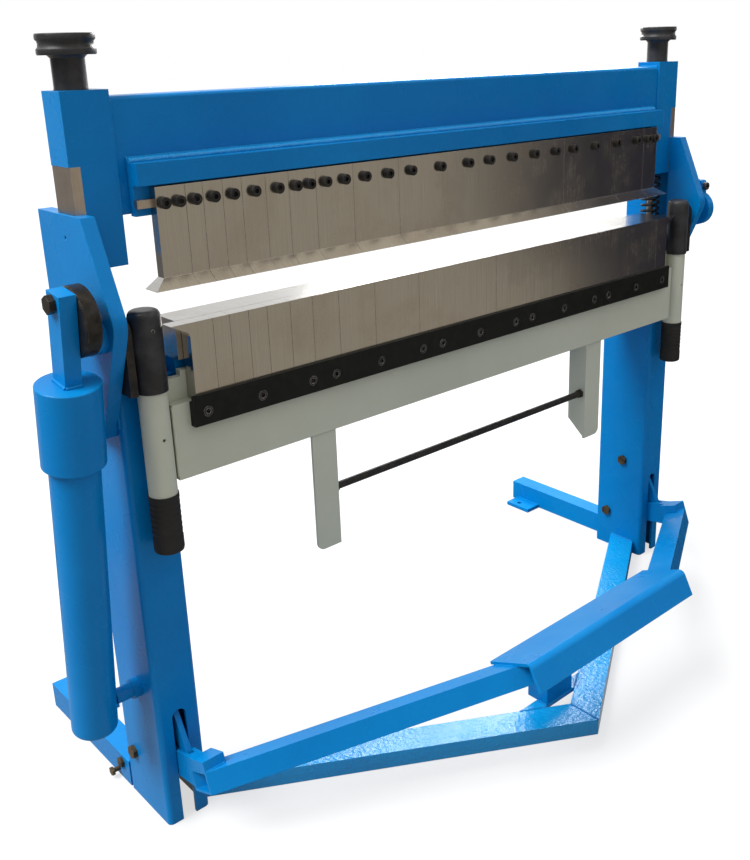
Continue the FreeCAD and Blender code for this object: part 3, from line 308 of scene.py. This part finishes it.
def ground_steel(name, pale, dull, stained, smooth, line_width, run):
    """Bare ground steel: grinding lines in tone, gloss and relief, with faint brownish stains."""
    made, tree, shader, at = new_material(name)
    grind = place_group(tree, ground_lines, Line_width=line_width, Run=run)
    worn = place_group(tree, edge_wear, Width=0.0016, Patch_size=0.012)
    lined = colour_mix(tree, ramp_value(tree, grind.outputs["Line"], 0.32, 0.68), dull, pale)
    share = node(tree, "Math", {0: grind.outputs["Stain"], 1: 0.40}, operation="MULTIPLY")
    marked = colour_mix(tree, share.outputs[0], lined, stained)
    bright = node(tree, "Math", {0: worn.outputs["Edge"], 1: 0.7}, operation="MULTIPLY")
    tree.links.new(colour_mix(tree, bright.outputs[0], marked, (0.70, 0.69, 0.67, 1)),
                   shader.inputs["Base Color"])
    rough = ramp_value(tree, grind.outputs["Line"], 0.25, 0.75, smooth + 0.10, smooth - 0.04)
    blurred = node(tree, "Math", {0: share.outputs[0], 1: 0.25}, operation="MULTIPLY")
    total = node(tree, "Math", {0: rough, 1: blurred.outputs[0]}, operation="ADD")
    tree.links.new(total.outputs[0], shader.inputs["Roughness"])
    shader.inputs["Metallic"].default_value = 1.0
    rounded_bump(tree, shader, grind.outputs["Line"], 0.000012, 0.0007)
    return made


blade_steel = ground_steel("blade_steel", (0.50, 0.485, 0.46, 1), (0.43, 0.415, 0.39, 1),
                           (0.36, 0.31, 0.26, 1), 0.17, 0.0009, 0.10)
dress(blue_enamel, "bed_beam")
dress(blade_steel, "bed_plate")
bed_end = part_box("bed_beam")[1].x - 0.0005
bed_face, bed_top = -0.4206, 0.815
weld_pair("bed_weld_front", "frame", (bed_end, bed_face, 0.670), (bed_end, bed_face, weld_top), 0.003)
weld_pair("bed_weld_top", "frame", (bed_end, -0.418, bed_top), (bed_end, -0.325, bed_top), 0.003)


# ---- Floor frame -------------------------------------------------------------------------
# Two flat tubes that run forward from the columns to a mitred point; on a plate in that corner a
# bent bracket stops the pedal; behind, a square tube foot on each side with an anchor plate.
# The V lies flat while it is sprayed, so its top carries the heaviest, lumpiest enamel. Its blue
# is also painted lighter than the rest of the frame: painted light for the strong light on its top.

heavy_enamel_painted_light = enamel("heavy_enamel_painted_light", (0.001, 0.330, 0.74, 1), (0.0008, 0.275, 0.66, 1),
                      (0.02, 0.42, 0.80, 1), (0.03, 0.38, 0.68, 1), 0.15, 0.50, 0.0080, 0.0030)
dress(heavy_enamel_painted_light, "floor_bars")
dress(blue_enamel, "pedal_stop", "rear_feet")
bar_top, foot_top, bracket_side = 0.034, 0.053, 0.038
weld_run("mitre_weld", "frame", (0, -0.7930, 0.0325), (0, -0.7250, 0.0325), 0.0030)
weld_run("bracket_weld", "frame", (-0.036, -0.6946, bar_top), (0.036, -0.6946, bar_top), 0.0025)
for spot, start, end, size in (
        ("floor", (0.6515, -0.401, bar_top), (0.6515, -0.335, bar_top), 0.003),
        ("foot", (0.690, -0.2812, foot_top), (0.729, -0.2812, foot_top), 0.003),
        ("bracket", (bracket_side, -0.6940, bar_top), (bracket_side, -0.6700, bar_top), 0.0025),
        ("corner", (0.0500, -0.6936, 0.0335), (0.0905, -0.6693, 0.0335), 0.0022)):
    weld_pair(spot + "_weld", "frame", start, end, size)


# ---- Bolts of the columns and feet ---------------------------------------------------------
# The pedal's pivot bolt and the guide bolt above it, and two small bolts at the left foot.
# Bought hexagon bolts, black oxide over steel, worn bright on the corners by the spanner.

def black_oxide(name, colour, brown, bare, rough, share):
    """Black oxide: a thin brownish black skin, rubbed through to steel along the edges."""
    made, tree, shader, at = new_material(name)
    tone = node(tree, "TexNoise", {"Vector": at, "Scale": 60.0, "Detail": 5.0, "Roughness": 0.6})
    worn = place_group(tree, edge_wear, Width=0.0014, Patch_size=0.008)
    body = colour_mix(tree, ramp_value(tree, tone.outputs[0], 0.40, 0.68), colour, brown)
    rubbed = node(tree, "Math", {0: worn.outputs["Edge"], 1: share}, operation="MULTIPLY")
    tree.links.new(colour_mix(tree, rubbed.outputs[0], body, bare), shader.inputs["Base Color"])
    tree.links.new(ramp_value(tree, tone.outputs[0], 0.3, 0.7, rough - 0.06, rough + 0.10),
                   shader.inputs["Roughness"])
    tree.links.new(ramp_value(tree, rubbed.outputs[0], 0.0, 0.5, 0.15, 0.9), shader.inputs["Metallic"])
    shader.inputs["Specular IOR Level"].default_value = 0.20
    rounded_bump(tree, shader, tone.outputs[0], 0.00012, 0.0006)
    return made


black_steel = black_oxide("black_steel", (0.016, 0.016, 0.018, 1), (0.040, 0.034, 0.028, 1),
                          (0.34, 0.32, 0.29, 1), 0.40, 0.55)
aged_bolt = black_oxide("aged_bolt", (0.050, 0.036, 0.022, 1), (0.110, 0.080, 0.040, 1),
                        (0.42, 0.38, 0.30, 1), 0.38, 0.6)
dress(aged_bolt, "column_bolts", "foot_screws")


# ---- Clamping beam -----------------------------------------------------------------------
# A folded box beam between two end blocks, raised by the springs, with a thick lip over the
# fingers and a bar behind them. The lip is welded on; its bead runs the whole length as a lumpy
# line in the lighter blue of the floor bars: a painted highlight.

dress(blue_enamel, "clamp_beam", "beam_lip", "finger_bar", "left_end_block", "right_end_block")
low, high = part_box("beam_lip")
lip_y, lip_top = high.y - 0.0035, 1.1405
# The lip's weld bead takes the floor bars' lighter blue as a painted highlight.
weld_run("lip_weld", "beam", (low.x + 0.002, lip_y, lip_top), (high.x - 0.002, lip_y, lip_top), 0.0062,
         material=heavy_enamel_painted_light)
beam_end, beam_face, beam_top = 0.675, -0.3952, 1.2335
weld_pair("beam_weld_front", "beam", (beam_end, beam_face, 1.070), (beam_end, beam_face, 1.228), 0.003)
weld_pair("beam_weld_top", "beam", (beam_end, -0.391, beam_top), (beam_end, -0.346, beam_top), 0.003)


# ---- Slide bars and key --------------------------------------------------------------------
# Bright flat bars on the ends of the blocks, that slide against the side plates, and the
# strip of key steel that aligns the fingers. Cold drawn, bare, rubbed and a little brown.

drawn_steel = ground_steel("drawn_steel", (0.54, 0.48, 0.43, 1), (0.42, 0.37, 0.32, 1),
                           (0.22, 0.17, 0.13, 1), 0.34, 0.0012, 0.25)
dress(drawn_steel, "slide_bars", "finger_key", "pull_rods")
dress(blue_enamel, "pull_links")


# ---- Fingers and their screws --------------------------------------------------------------
# Thirteen fingers of different widths, milled with a nose, hardened and surface ground up and
# down, so the grinding lines stand upright. Each hangs on its own black socket screws.

dress(blade_steel, *["finger_%02d" % (i + 1) for i in range(13)])
dress(black_steel, "finger_screws")


# ---- Adjusting knobs -----------------------------------------------------------------------
# A stem and a spool shaped head, moulded in one piece of black plastic and threaded on the
# pull rod: they set how hard the beam clamps. The head is dished on top and rimmed twice.

def moulded(name, colour, pale, rough, grain, depth):
    """Moulded plastic or rubber: fine grain, rubbed paler where hands hold it."""
    made, tree, shader, at = new_material(name)
    tone = node(tree, "TexNoise", {"Vector": at, "Scale": 25.0, "Detail": 4.0, "Roughness": 0.6})
    worn = place_group(tree, edge_wear, Width=0.002, Patch_size=0.01)
    fallen = place_group(tree, dust, Amount=0.35, Cloud_size=0.02)
    body = colour_mix(tree, ramp_value(tree, tone.outputs[0], 0.40, 0.75, 0.0, 0.5), colour, pale)
    rubbed = node(tree, "Math", {0: worn.outputs["Edge"], 1: 0.6}, operation="MULTIPLY")
    edged = colour_mix(tree, rubbed.outputs[0], body, pale)
    tree.links.new(colour_mix(tree, fallen.outputs["Dust"], edged, (0.16, 0.16, 0.15, 1)),
                   shader.inputs["Base Color"])
    tree.links.new(ramp_value(tree, tone.outputs[0], 0.3, 0.7, rough - 0.06, rough + 0.08),
                   shader.inputs["Roughness"])
    skin = place_group(tree, orange_peel, Lump_size=grain, Fine_share=0.5)
    rounded_bump(tree, shader, skin.outputs["Height"], depth, 0.0009)
    shader.inputs["Specular IOR Level"].default_value = 0.35
    return made


def turned(outline, sides):
    """Draws a round piece up from a disc, ring by ring; outline is its radii and heights."""
    bpy.ops.object.select_all(action="DESELECT")
    radius, height = outline[0]
    bpy.ops.mesh.primitive_circle_add(vertices=sides, radius=radius, fill_type="NGON",
                                      location=(0, 0, height))
    piece = bpy.context.object
    bpy.ops.object.mode_set(mode="EDIT")
    bpy.ops.mesh.select_all(action="SELECT")
    for next_radius, next_height in outline[1:]:
        bpy.ops.mesh.extrude_region_move(TRANSFORM_OT_translate={"value": (0, 0, next_height - height)})
        grow = next_radius / radius
        bpy.ops.transform.resize(value=(grow, grow, 1), center_override=(0, 0, 0))
        radius, height = next_radius, next_height
    bpy.ops.mesh.select_all(action="SELECT")
    bpy.ops.mesh.normals_make_consistent(inside=False)
    bpy.ops.object.mode_set(mode="OBJECT")
    bpy.ops.object.transform_apply(location=True, rotation=True, scale=True)
    return piece


def soften(piece, width, angle, segments):
    """Rounds the sharp edges of a new piece and smooths the rest."""
    bpy.ops.object.modifier_add(type="BEVEL")
    edge = piece.modifiers[-1]
    edge.width = width
    edge.segments = segments
    edge.limit_method = "ANGLE"
    edge.angle_limit = math.radians(angle)
    bpy.ops.object.modifier_apply(modifier=edge.name)
    bpy.ops.object.shade_smooth_by_angle(angle=math.radians(40))


def twin(piece):
    """A copy of a finished piece with a mesh of its own."""
    copied = piece.copy()
    copied.data = piece.data.copy()
    bpy.context.scene.collection.objects.link(copied)
    return copied


black_plastic = moulded("black_plastic", (0.018, 0.018, 0.020, 1), (0.075, 0.075, 0.080, 1), 0.36,
                        0.0012, 0.00015)
rod_x, rod_y = 0.714, -0.3626
stem_foot, stem_top, head_top, rod_end = 1.2435, 1.2910, 1.3200, 1.2990
bore, rim = 0.00805, 0.0410
knob_outline = [(bore, rod_end), (bore, stem_foot), (0.0245, stem_foot), (0.0236, stem_foot + 0.003),
                (0.0236, stem_top - 0.004), (0.0275, stem_top), (0.0400, stem_top),
                (rim, stem_top + 0.002), (rim, stem_top + 0.008), (0.0385, stem_top + 0.0105),
                (0.0378, stem_top + 0.0145), (0.0385, stem_top + 0.0185), (rim, head_top - 0.008),
                (rim, head_top - 0.002), (0.0400, head_top), (0.0345, head_top),
                (0.0325, head_top - 0.0025), (0.0150, head_top - 0.0025), (0.0130, head_top - 0.0010),
                (0.0020, head_top - 0.0006)]
right_knob = turned(knob_outline, 64)
soften(right_knob, 0.0007, 40, 2)
left_knob = twin(right_knob)
for knob, word, side in ((left_knob, "left", -1), (right_knob, "right", 1)):
    lay(knob, word + "_spool_knob", word + "_knob_body", black_plastic,
        (side * rod_x, rod_y, 0))
    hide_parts(word + "_knob")


# ---- Springs -----------------------------------------------------------------------------
# Two compression springs round the pull rods that lift the beam off the bed. Eleven turns of
# 6 mm wire, coiled, ground flat at both ends and blackened with oil.

seat_level, block_level, turns, wire, coil_radius = 0.834, 0.990, 11, 0.0060, 0.0200
pitch = (block_level - seat_level) / turns
bpy.ops.object.select_all(action="DESELECT")
bpy.ops.mesh.primitive_circle_add(vertices=12, radius=wire / 2, fill_type="NOTHING")
right_coil = bpy.context.object
bpy.ops.object.mode_set(mode="EDIT")
bpy.ops.mesh.select_all(action="SELECT")
bpy.ops.transform.rotate(value=math.radians(90), orient_axis="X", center_override=(0, 0, 0))
bpy.ops.transform.translate(value=(coil_radius, 0, seat_level - pitch))
bpy.ops.object.mode_set(mode="OBJECT")
bpy.ops.object.modifier_add(type="SCREW")
coil = right_coil.modifiers[-1]
coil.angle = 2 * math.pi
coil.screw_offset = pitch
coil.iterations = turns + 2
coil.steps = coil.render_steps = 40
coil.use_merge_vertices = False
bpy.ops.object.modifier_apply(modifier=coil.name)
bpy.ops.object.mode_set(mode="EDIT")
for level, up in ((seat_level, False), (block_level, True)):
    bpy.ops.mesh.select_all(action="SELECT")
    bpy.ops.mesh.bisect(plane_co=(0, 0, level), plane_no=(0, 0, 1), use_fill=True, clear_outer=up,
                        clear_inner=not up)
bpy.ops.mesh.select_all(action="SELECT")
bpy.ops.mesh.normals_make_consistent(inside=False)
bpy.ops.object.mode_set(mode="OBJECT")
bpy.ops.object.shade_smooth_by_angle(angle=math.radians(50))
left_coil = twin(right_coil)
for spring, word, side in ((left_coil, "left", -1), (right_coil, "right", 1)):
    lay(spring, word + "_coil_spring", "frame", black_steel, (side * rod_x, rod_y, 0))
    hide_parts("springs")
    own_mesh(spring)


# ---- Apron -------------------------------------------------------------------------------
# The folding beam: folded channel with a ledge for the blades, stepped end plates and the
# handle tubes, welded together and sprayed a light grey cream. The paint is satin and chalky.

cream_enamel = enamel("cream_enamel", (0.56, 0.57, 0.46, 1), (0.51, 0.52, 0.42, 1),
                      (0.64, 0.64, 0.54, 1), (0.48, 0.47, 0.39, 1), 0.42, 0.35, 0.0050, 0.0003)
dress(cream_enamel, "apron_beam", "end_plates", "handle_tubes", "truss_posts")
end_x, end_y, post_x, post_y, post_top = 0.6640, -0.4640, 0.3532, -0.4624, 0.6538
for spot, start, end in (
        ("end_weld", (end_x, end_y, 0.660), (end_x, end_y, 0.776)),
        ("post_weld_front", (0.354, post_y, post_top), (0.404, post_y, post_top)),
        ("post_weld_side", (post_x, -0.4610, post_top), (post_x, -0.4370, post_top))):
    weld_pair(spot, "apron", start, end, 0.0025, cream_enamel)


# ---- Apron blades, clamping bars and screws ------------------------------------------------
# Bending blades, one under each finger, ground like the fingers; five black bars with a
# rebate hold their feet, with three sunk socket screws in each bar.

dress(blade_steel, "apron_blades")
bar_black = black_oxide("bar_black", (0.005, 0.006, 0.006, 1), (0.010, 0.011, 0.010, 1),
                        (0.16, 0.16, 0.15, 1), 0.42, 0.35)
dress(bar_black, "clamp_bars")
# The screw heads' edges rub through to steel in a near white, which is a painted highlight ring.
screw_black_painted_highlight = black_oxide("screw_black_painted_highlight", (0.030, 0.030, 0.030, 1), (0.060, 0.055, 0.050, 1),
                          (0.92, 0.90, 0.87, 1), 0.30, 1.0)
dress(screw_black_painted_highlight, "apron_screws")


# ---- Grips -------------------------------------------------------------------------------
# Over the top of each handle tube a hard plastic sleeve with a domed end, held by one small
# screw; over the bottom a soft rubber one with a collar, six ribs and a wider foot.

black_rubber = moulded("black_rubber", (0.009, 0.009, 0.009, 1), (0.026, 0.026, 0.024, 1), 0.55,
                       0.0009, 0.00025)
handle_x, handle_y = 0.6905, -0.4576
bore = 0.0226
sleeve_outline = [(bore, 0.9279), (bore, 0.8080), (0.0250, 0.8080), (0.0248, 0.8700), (0.0250, 0.9180),
                  (0.0247, 0.9235), (0.0235, 0.9285), (0.0212, 0.9320), (0.0180, 0.9337), (0.0100, 0.9340),
                  (0.0010, 0.9340)]
foot_outline = [(bore, 0.5471), (bore, 0.6390), (0.0240, 0.6390), (0.0240, 0.6310), (0.0233, 0.6295)]
first_rib, rib_pitch = 0.6240, 0.0095
for rib in range(6):
    crest = first_rib - rib * rib_pitch
    foot_outline += [(0.0233, crest + 0.0025), (0.0238, crest + 0.0015), (0.0238, crest - 0.0015),
                     (0.0233, crest - 0.0025)]
foot_outline += [(0.0233, 0.5680), (0.0240, 0.5660), (0.0240, 0.5460), (0.0232, 0.5425), (0.0205, 0.5410),
                 (0.0010, 0.5410)]
for outline, kind, node_name, material, slot_name in (
        (sleeve_outline, "hand_sleeve", "top_grips", black_plastic, "black_plastic"),
        (foot_outline, "ribbed_grip", "lower_grips", black_rubber, "black_rubber")):
    right_grip = turned(outline, 48)
    bpy.ops.object.shade_smooth_by_angle(angle=math.radians(40))
    left_grip = twin(right_grip)
    for grip, word, side in ((left_grip, "left", -1), (right_grip, "right", 1)):
        lay(grip, word + "_" + kind, "apron", material, (side * handle_x, handle_y, 0))
        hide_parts(node_name)


# ---- Truss rod -----------------------------------------------------------------------------
# A round bar between the posts under the apron, with a nut at each end, that keeps it from
# bowing. Hot rolled bar, black.

dress(black_steel, "truss_rod")


# ---- Hinge -------------------------------------------------------------------------------
# Arms behind the handle tubes carry the shafts; they turn in bushes through the side plates.
# Left is an eccentric disc with the strut's bolt, turned and blackened; right a split collar.

dress(black_steel, "hinge_arms")
dress(blue_enamel, "hinge_bushes", "angle_collar")
disc_black = black_oxide("disc_black", (0.012, 0.011, 0.010, 1), (0.035, 0.030, 0.025, 1),
                         (0.30, 0.28, 0.25, 1), 0.32, 0.7)
dress(disc_black, "crank_disc", "crank_pin")


# ---- Support strut -------------------------------------------------------------------------
# A flat bar hangs from the disc and is welded to a closed sleeve; a wide tube slides in the
# sleeve and rests on a pin of the left column. It carries the apron's weight as it swings.

dress(blue_enamel, "strut_bar", "strut_cap", "strut_tube", "strut_anchor_pin")
bar_left, bar_right = -0.8256, -0.8006
bar_front, bar_back = (-0.46935, 0.8464), (-0.42975, 0.8520)
for spot, start, end in (("left", (bar_left, *bar_front), (bar_left, *bar_back)),
                         ("right", (bar_right, *bar_front), (bar_right, *bar_back)),
                         ("front", (bar_left, *bar_front), (bar_right, *bar_front)),
                         ("back", (bar_left, *bar_back), (bar_right, *bar_back))):
    weld_run("strut_weld_" + spot, "strut", start, end, 0.0035)


# ---- Pedal -------------------------------------------------------------------------------
# Two levers inside the columns, square tubes that lean together in front, and a folded plate
# to tread on. Welded, enamelled blue.

dress(blue_enamel, "pedal_levers", "pedal_tubes", "pedal_pad")
lever_y, pad_end = -0.5205, 0.2315
weld_pair("lever_weld", "pedal", (0.6660, lever_y, 0.1557), (0.7025, lever_y, 0.1552), 0.0022)
weld_pair("pad_weld", "pedal", (pad_end, -0.7785, 0.2597), (pad_end, -0.7360, 0.2413), 0.0022)


# ---- Floor, light and camera ---------------------------------------------------------------
# A pale studio floor under soft light from above and the left. The bare steel needs something
# to mirror, so cards with a dark right side stand around it, seen only in reflections.

def seen_or_mirrored(tree):
    """One for rays from the camera, off a glossy surface or through glass, otherwise nought."""
    rays = node(tree, "LightPath")
    either = node(tree, "Math", {0: rays.outputs["Is Camera Ray"], 1: rays.outputs["Is Glossy Ray"]},
                  operation="MAXIMUM")
    any_way = node(tree, "Math", {0: either.outputs[0], 1: rays.outputs["Is Transmission Ray"]},
                   operation="MAXIMUM")
    return any_way.outputs[0]


bpy.ops.object.select_all(action="DESELECT")
bpy.ops.mesh.primitive_grid_add(x_subdivisions=8, y_subdivisions=8, size=60, location=(0, 0, -0.0005))
floor = bpy.context.object
floor.name = "studio_floor"
floor_paper = bpy.data.materials.new("floor_paper")
floor_paper.use_nodes = True
tree = floor_paper.node_tree
tree.nodes.remove(tree.nodes["Principled BSDF"])
paper = node(tree, "BsdfDiffuse", {"Color": (0.27, 0.27, 0.27, 1)})
lift = node(tree, "Emission", {"Color": (1, 1, 1, 1), "Strength": 0.66})
lifted = node(tree, "AddShader", {0: paper.outputs[0], 1: lift.outputs[0]})
chosen = node(tree, "MixShader", {0: seen_or_mirrored(tree), 1: paper.outputs[0], 2: lifted.outputs[0]})
tree.links.new(chosen.outputs[0], tree.nodes["Material Output"].inputs["Surface"])
floor.data.materials.append(floor_paper)

# The edge on the floor's card fans out from the place of the camera's mirror image in the blades,
# so that their mirrored edge stands upright.
fan_x, fan_y = -1.35, 0.84


def card_cloth(name, strength, fan=False):
    """Cloth with a dark right side, whose edge is straight or fans out over the floor."""
    made = bpy.data.materials.new(name)
    made.use_nodes = True
    tree = made.node_tree
    tree.nodes.remove(tree.nodes["Principled BSDF"])
    across = node(tree, "SeparateXYZ", {0: node(tree, "TexCoord").outputs["Object"]})
    if fan:
        rightward = node(tree, "Math", {0: across.outputs["X"], 1: fan_x}, operation="SUBTRACT")
        forward = node(tree, "Math", {0: fan_y, 1: across.outputs["Y"]}, operation="SUBTRACT")
        slope = node(tree, "Math", {0: rightward.outputs[0], 1: forward.outputs[0]}, operation="DIVIDE")
        reach = ramp_value(tree, slope.outputs[0], 1.225, 1.285)
    else:
        reach = ramp_value(tree, across.outputs["X"], 2.8, 3.6)
    shade = ramp_value(tree, across.outputs["X"], -2.4, -1.6)
    tones = colour_mix(tree, reach, (0.46, 0.41, 0.33, 1), (0.020, 0.020, 0.034, 1))
    tones = colour_mix(tree, shade, (0.16, 0.145, 0.13, 1), tones)
    glow = node(tree, "Emission", {"Color": tones, "Strength": strength})
    tree.links.new(glow.outputs[0], tree.nodes["Material Output"].inputs["Surface"])
    return made


wall_cloth = card_cloth("wall_cloth", 1.0)
floor_cloth = card_cloth("floor_cloth", 1.0, fan=True)
ceiling_cloth = card_cloth("ceiling_cloth", 1.7)
for name, cloth, middle, size, lean in (
        ("front_card", wall_cloth, (1.0, -3.3, 1.3), (16, 2.6, 1), (90, 0, 0)),
        ("floor_card", floor_cloth, (1.0, 1.2, -0.0002), (16, 9.0, 1), (0, 0, 0)),
        ("ceiling_card", ceiling_cloth, (1.0, -0.9, 3.6), (16, 4.6, 1), (0, 0, 0)),
        ("left_card", wall_cloth, (-2.3, 1.2, 1.3), (2.6, 9.0, 1), (0, 90, 0))):
    bpy.ops.mesh.primitive_plane_add(size=1, location=middle)
    card = bpy.context.object
    card.name = name
    card.rotation_euler = [math.radians(a) for a in lean]
    card.scale = size
    bpy.ops.object.transform_apply(location=True, rotation=True, scale=True)
    card.data.materials.append(cloth)
    card.visible_camera = card.visible_diffuse = card.visible_shadow = False
    card.visible_transmission = card.visible_volume_scatter = False

world = bpy.data.worlds.new("studio")
bpy.context.scene.world = world
world.use_nodes = True
tree = world.node_tree
ahead = node(tree, "SeparateXYZ", {0: node(tree, "TexCoord").outputs["Generated"]})
height = ramp_value(tree, ahead.outputs["Z"], -0.1, 1.0)
behind = ramp_value(tree, ahead.outputs["Y"], -0.9, 0.3, 0.5, 1.0)
share = node(tree, "Math", {0: height, 1: behind}, operation="MULTIPLY")
dome = colour_mix(tree, share.outputs[0], (0.12, 0.125, 0.135, 1), (1.35, 1.36, 1.38, 1))
shown = colour_mix(tree, seen_or_mirrored(tree), dome, (1.0, 1.0, 1.0, 1))
tree.links.new(shown, tree.nodes["Background"].inputs["Color"])
tree.nodes["Background"].inputs["Strength"].default_value = 1.0

for name, strength, spread, aim in (("key_sun", 3.4, 30, (0.66, -0.16, -0.92)),
                                    ("fill_sun", 0.2, 60, (-0.55, 0.75, -0.60))):
    light = bpy.data.lights.new(name, "SUN")
    light.energy = strength
    light.angle = math.radians(spread)
    lamp = bpy.data.objects.new(name, light)
    lamp.rotation_mode = "QUATERNION"
    lamp.rotation_quaternion = Vector(aim).to_track_quat("-Z", "Y")
    bpy.context.scene.collection.objects.link(lamp)

# A window behind, low enough to glance off the tops of the floor bars.
window = bpy.data.lights.new("window", "AREA")
window.shape = "RECTANGLE"
window.size, window.size_y = 1.3, 0.7
window.energy = 36
pane = bpy.data.objects.new("window", window)
pane.location = (1.5, 1.0, 1.9)
pane.rotation_mode = "QUATERNION"
window_aim = Vector((-1.7, -1.65, -1.87))
pane.rotation_quaternion = window_aim.to_track_quat("-Z", "Y")
bpy.context.scene.collection.objects.link(pane)

# The camera stands left of the machine and looks down along it, as the lower picture does.
yaw, pitch, roll = 0.736439, 0.318788, -0.024779
forward = Vector((math.sin(yaw) * math.cos(pitch), math.cos(yaw) * math.cos(pitch), -math.sin(pitch)))
level = Vector((math.cos(yaw), -math.sin(yaw), 0))
upright = level.cross(forward)
right = math.cos(roll) * level + math.sin(roll) * upright
up = math.cos(roll) * upright - math.sin(roll) * level
lens = bpy.data.cameras.new("camera")
lens.lens = 41.778
lens.shift_x, lens.shift_y = -0.0500, -0.0633
lens.clip_end = 200
camera = bpy.data.objects.new("camera", lens)
camera.matrix_world = Matrix((right, up, -forward)).transposed().to_4x4()
camera.location = (-1.34909, -1.78131, 1.29108)
bpy.context.scene.collection.objects.link(camera)
bpy.context.scene.camera = camera

bpy.context.scene.view_settings.view_transform = "Standard"
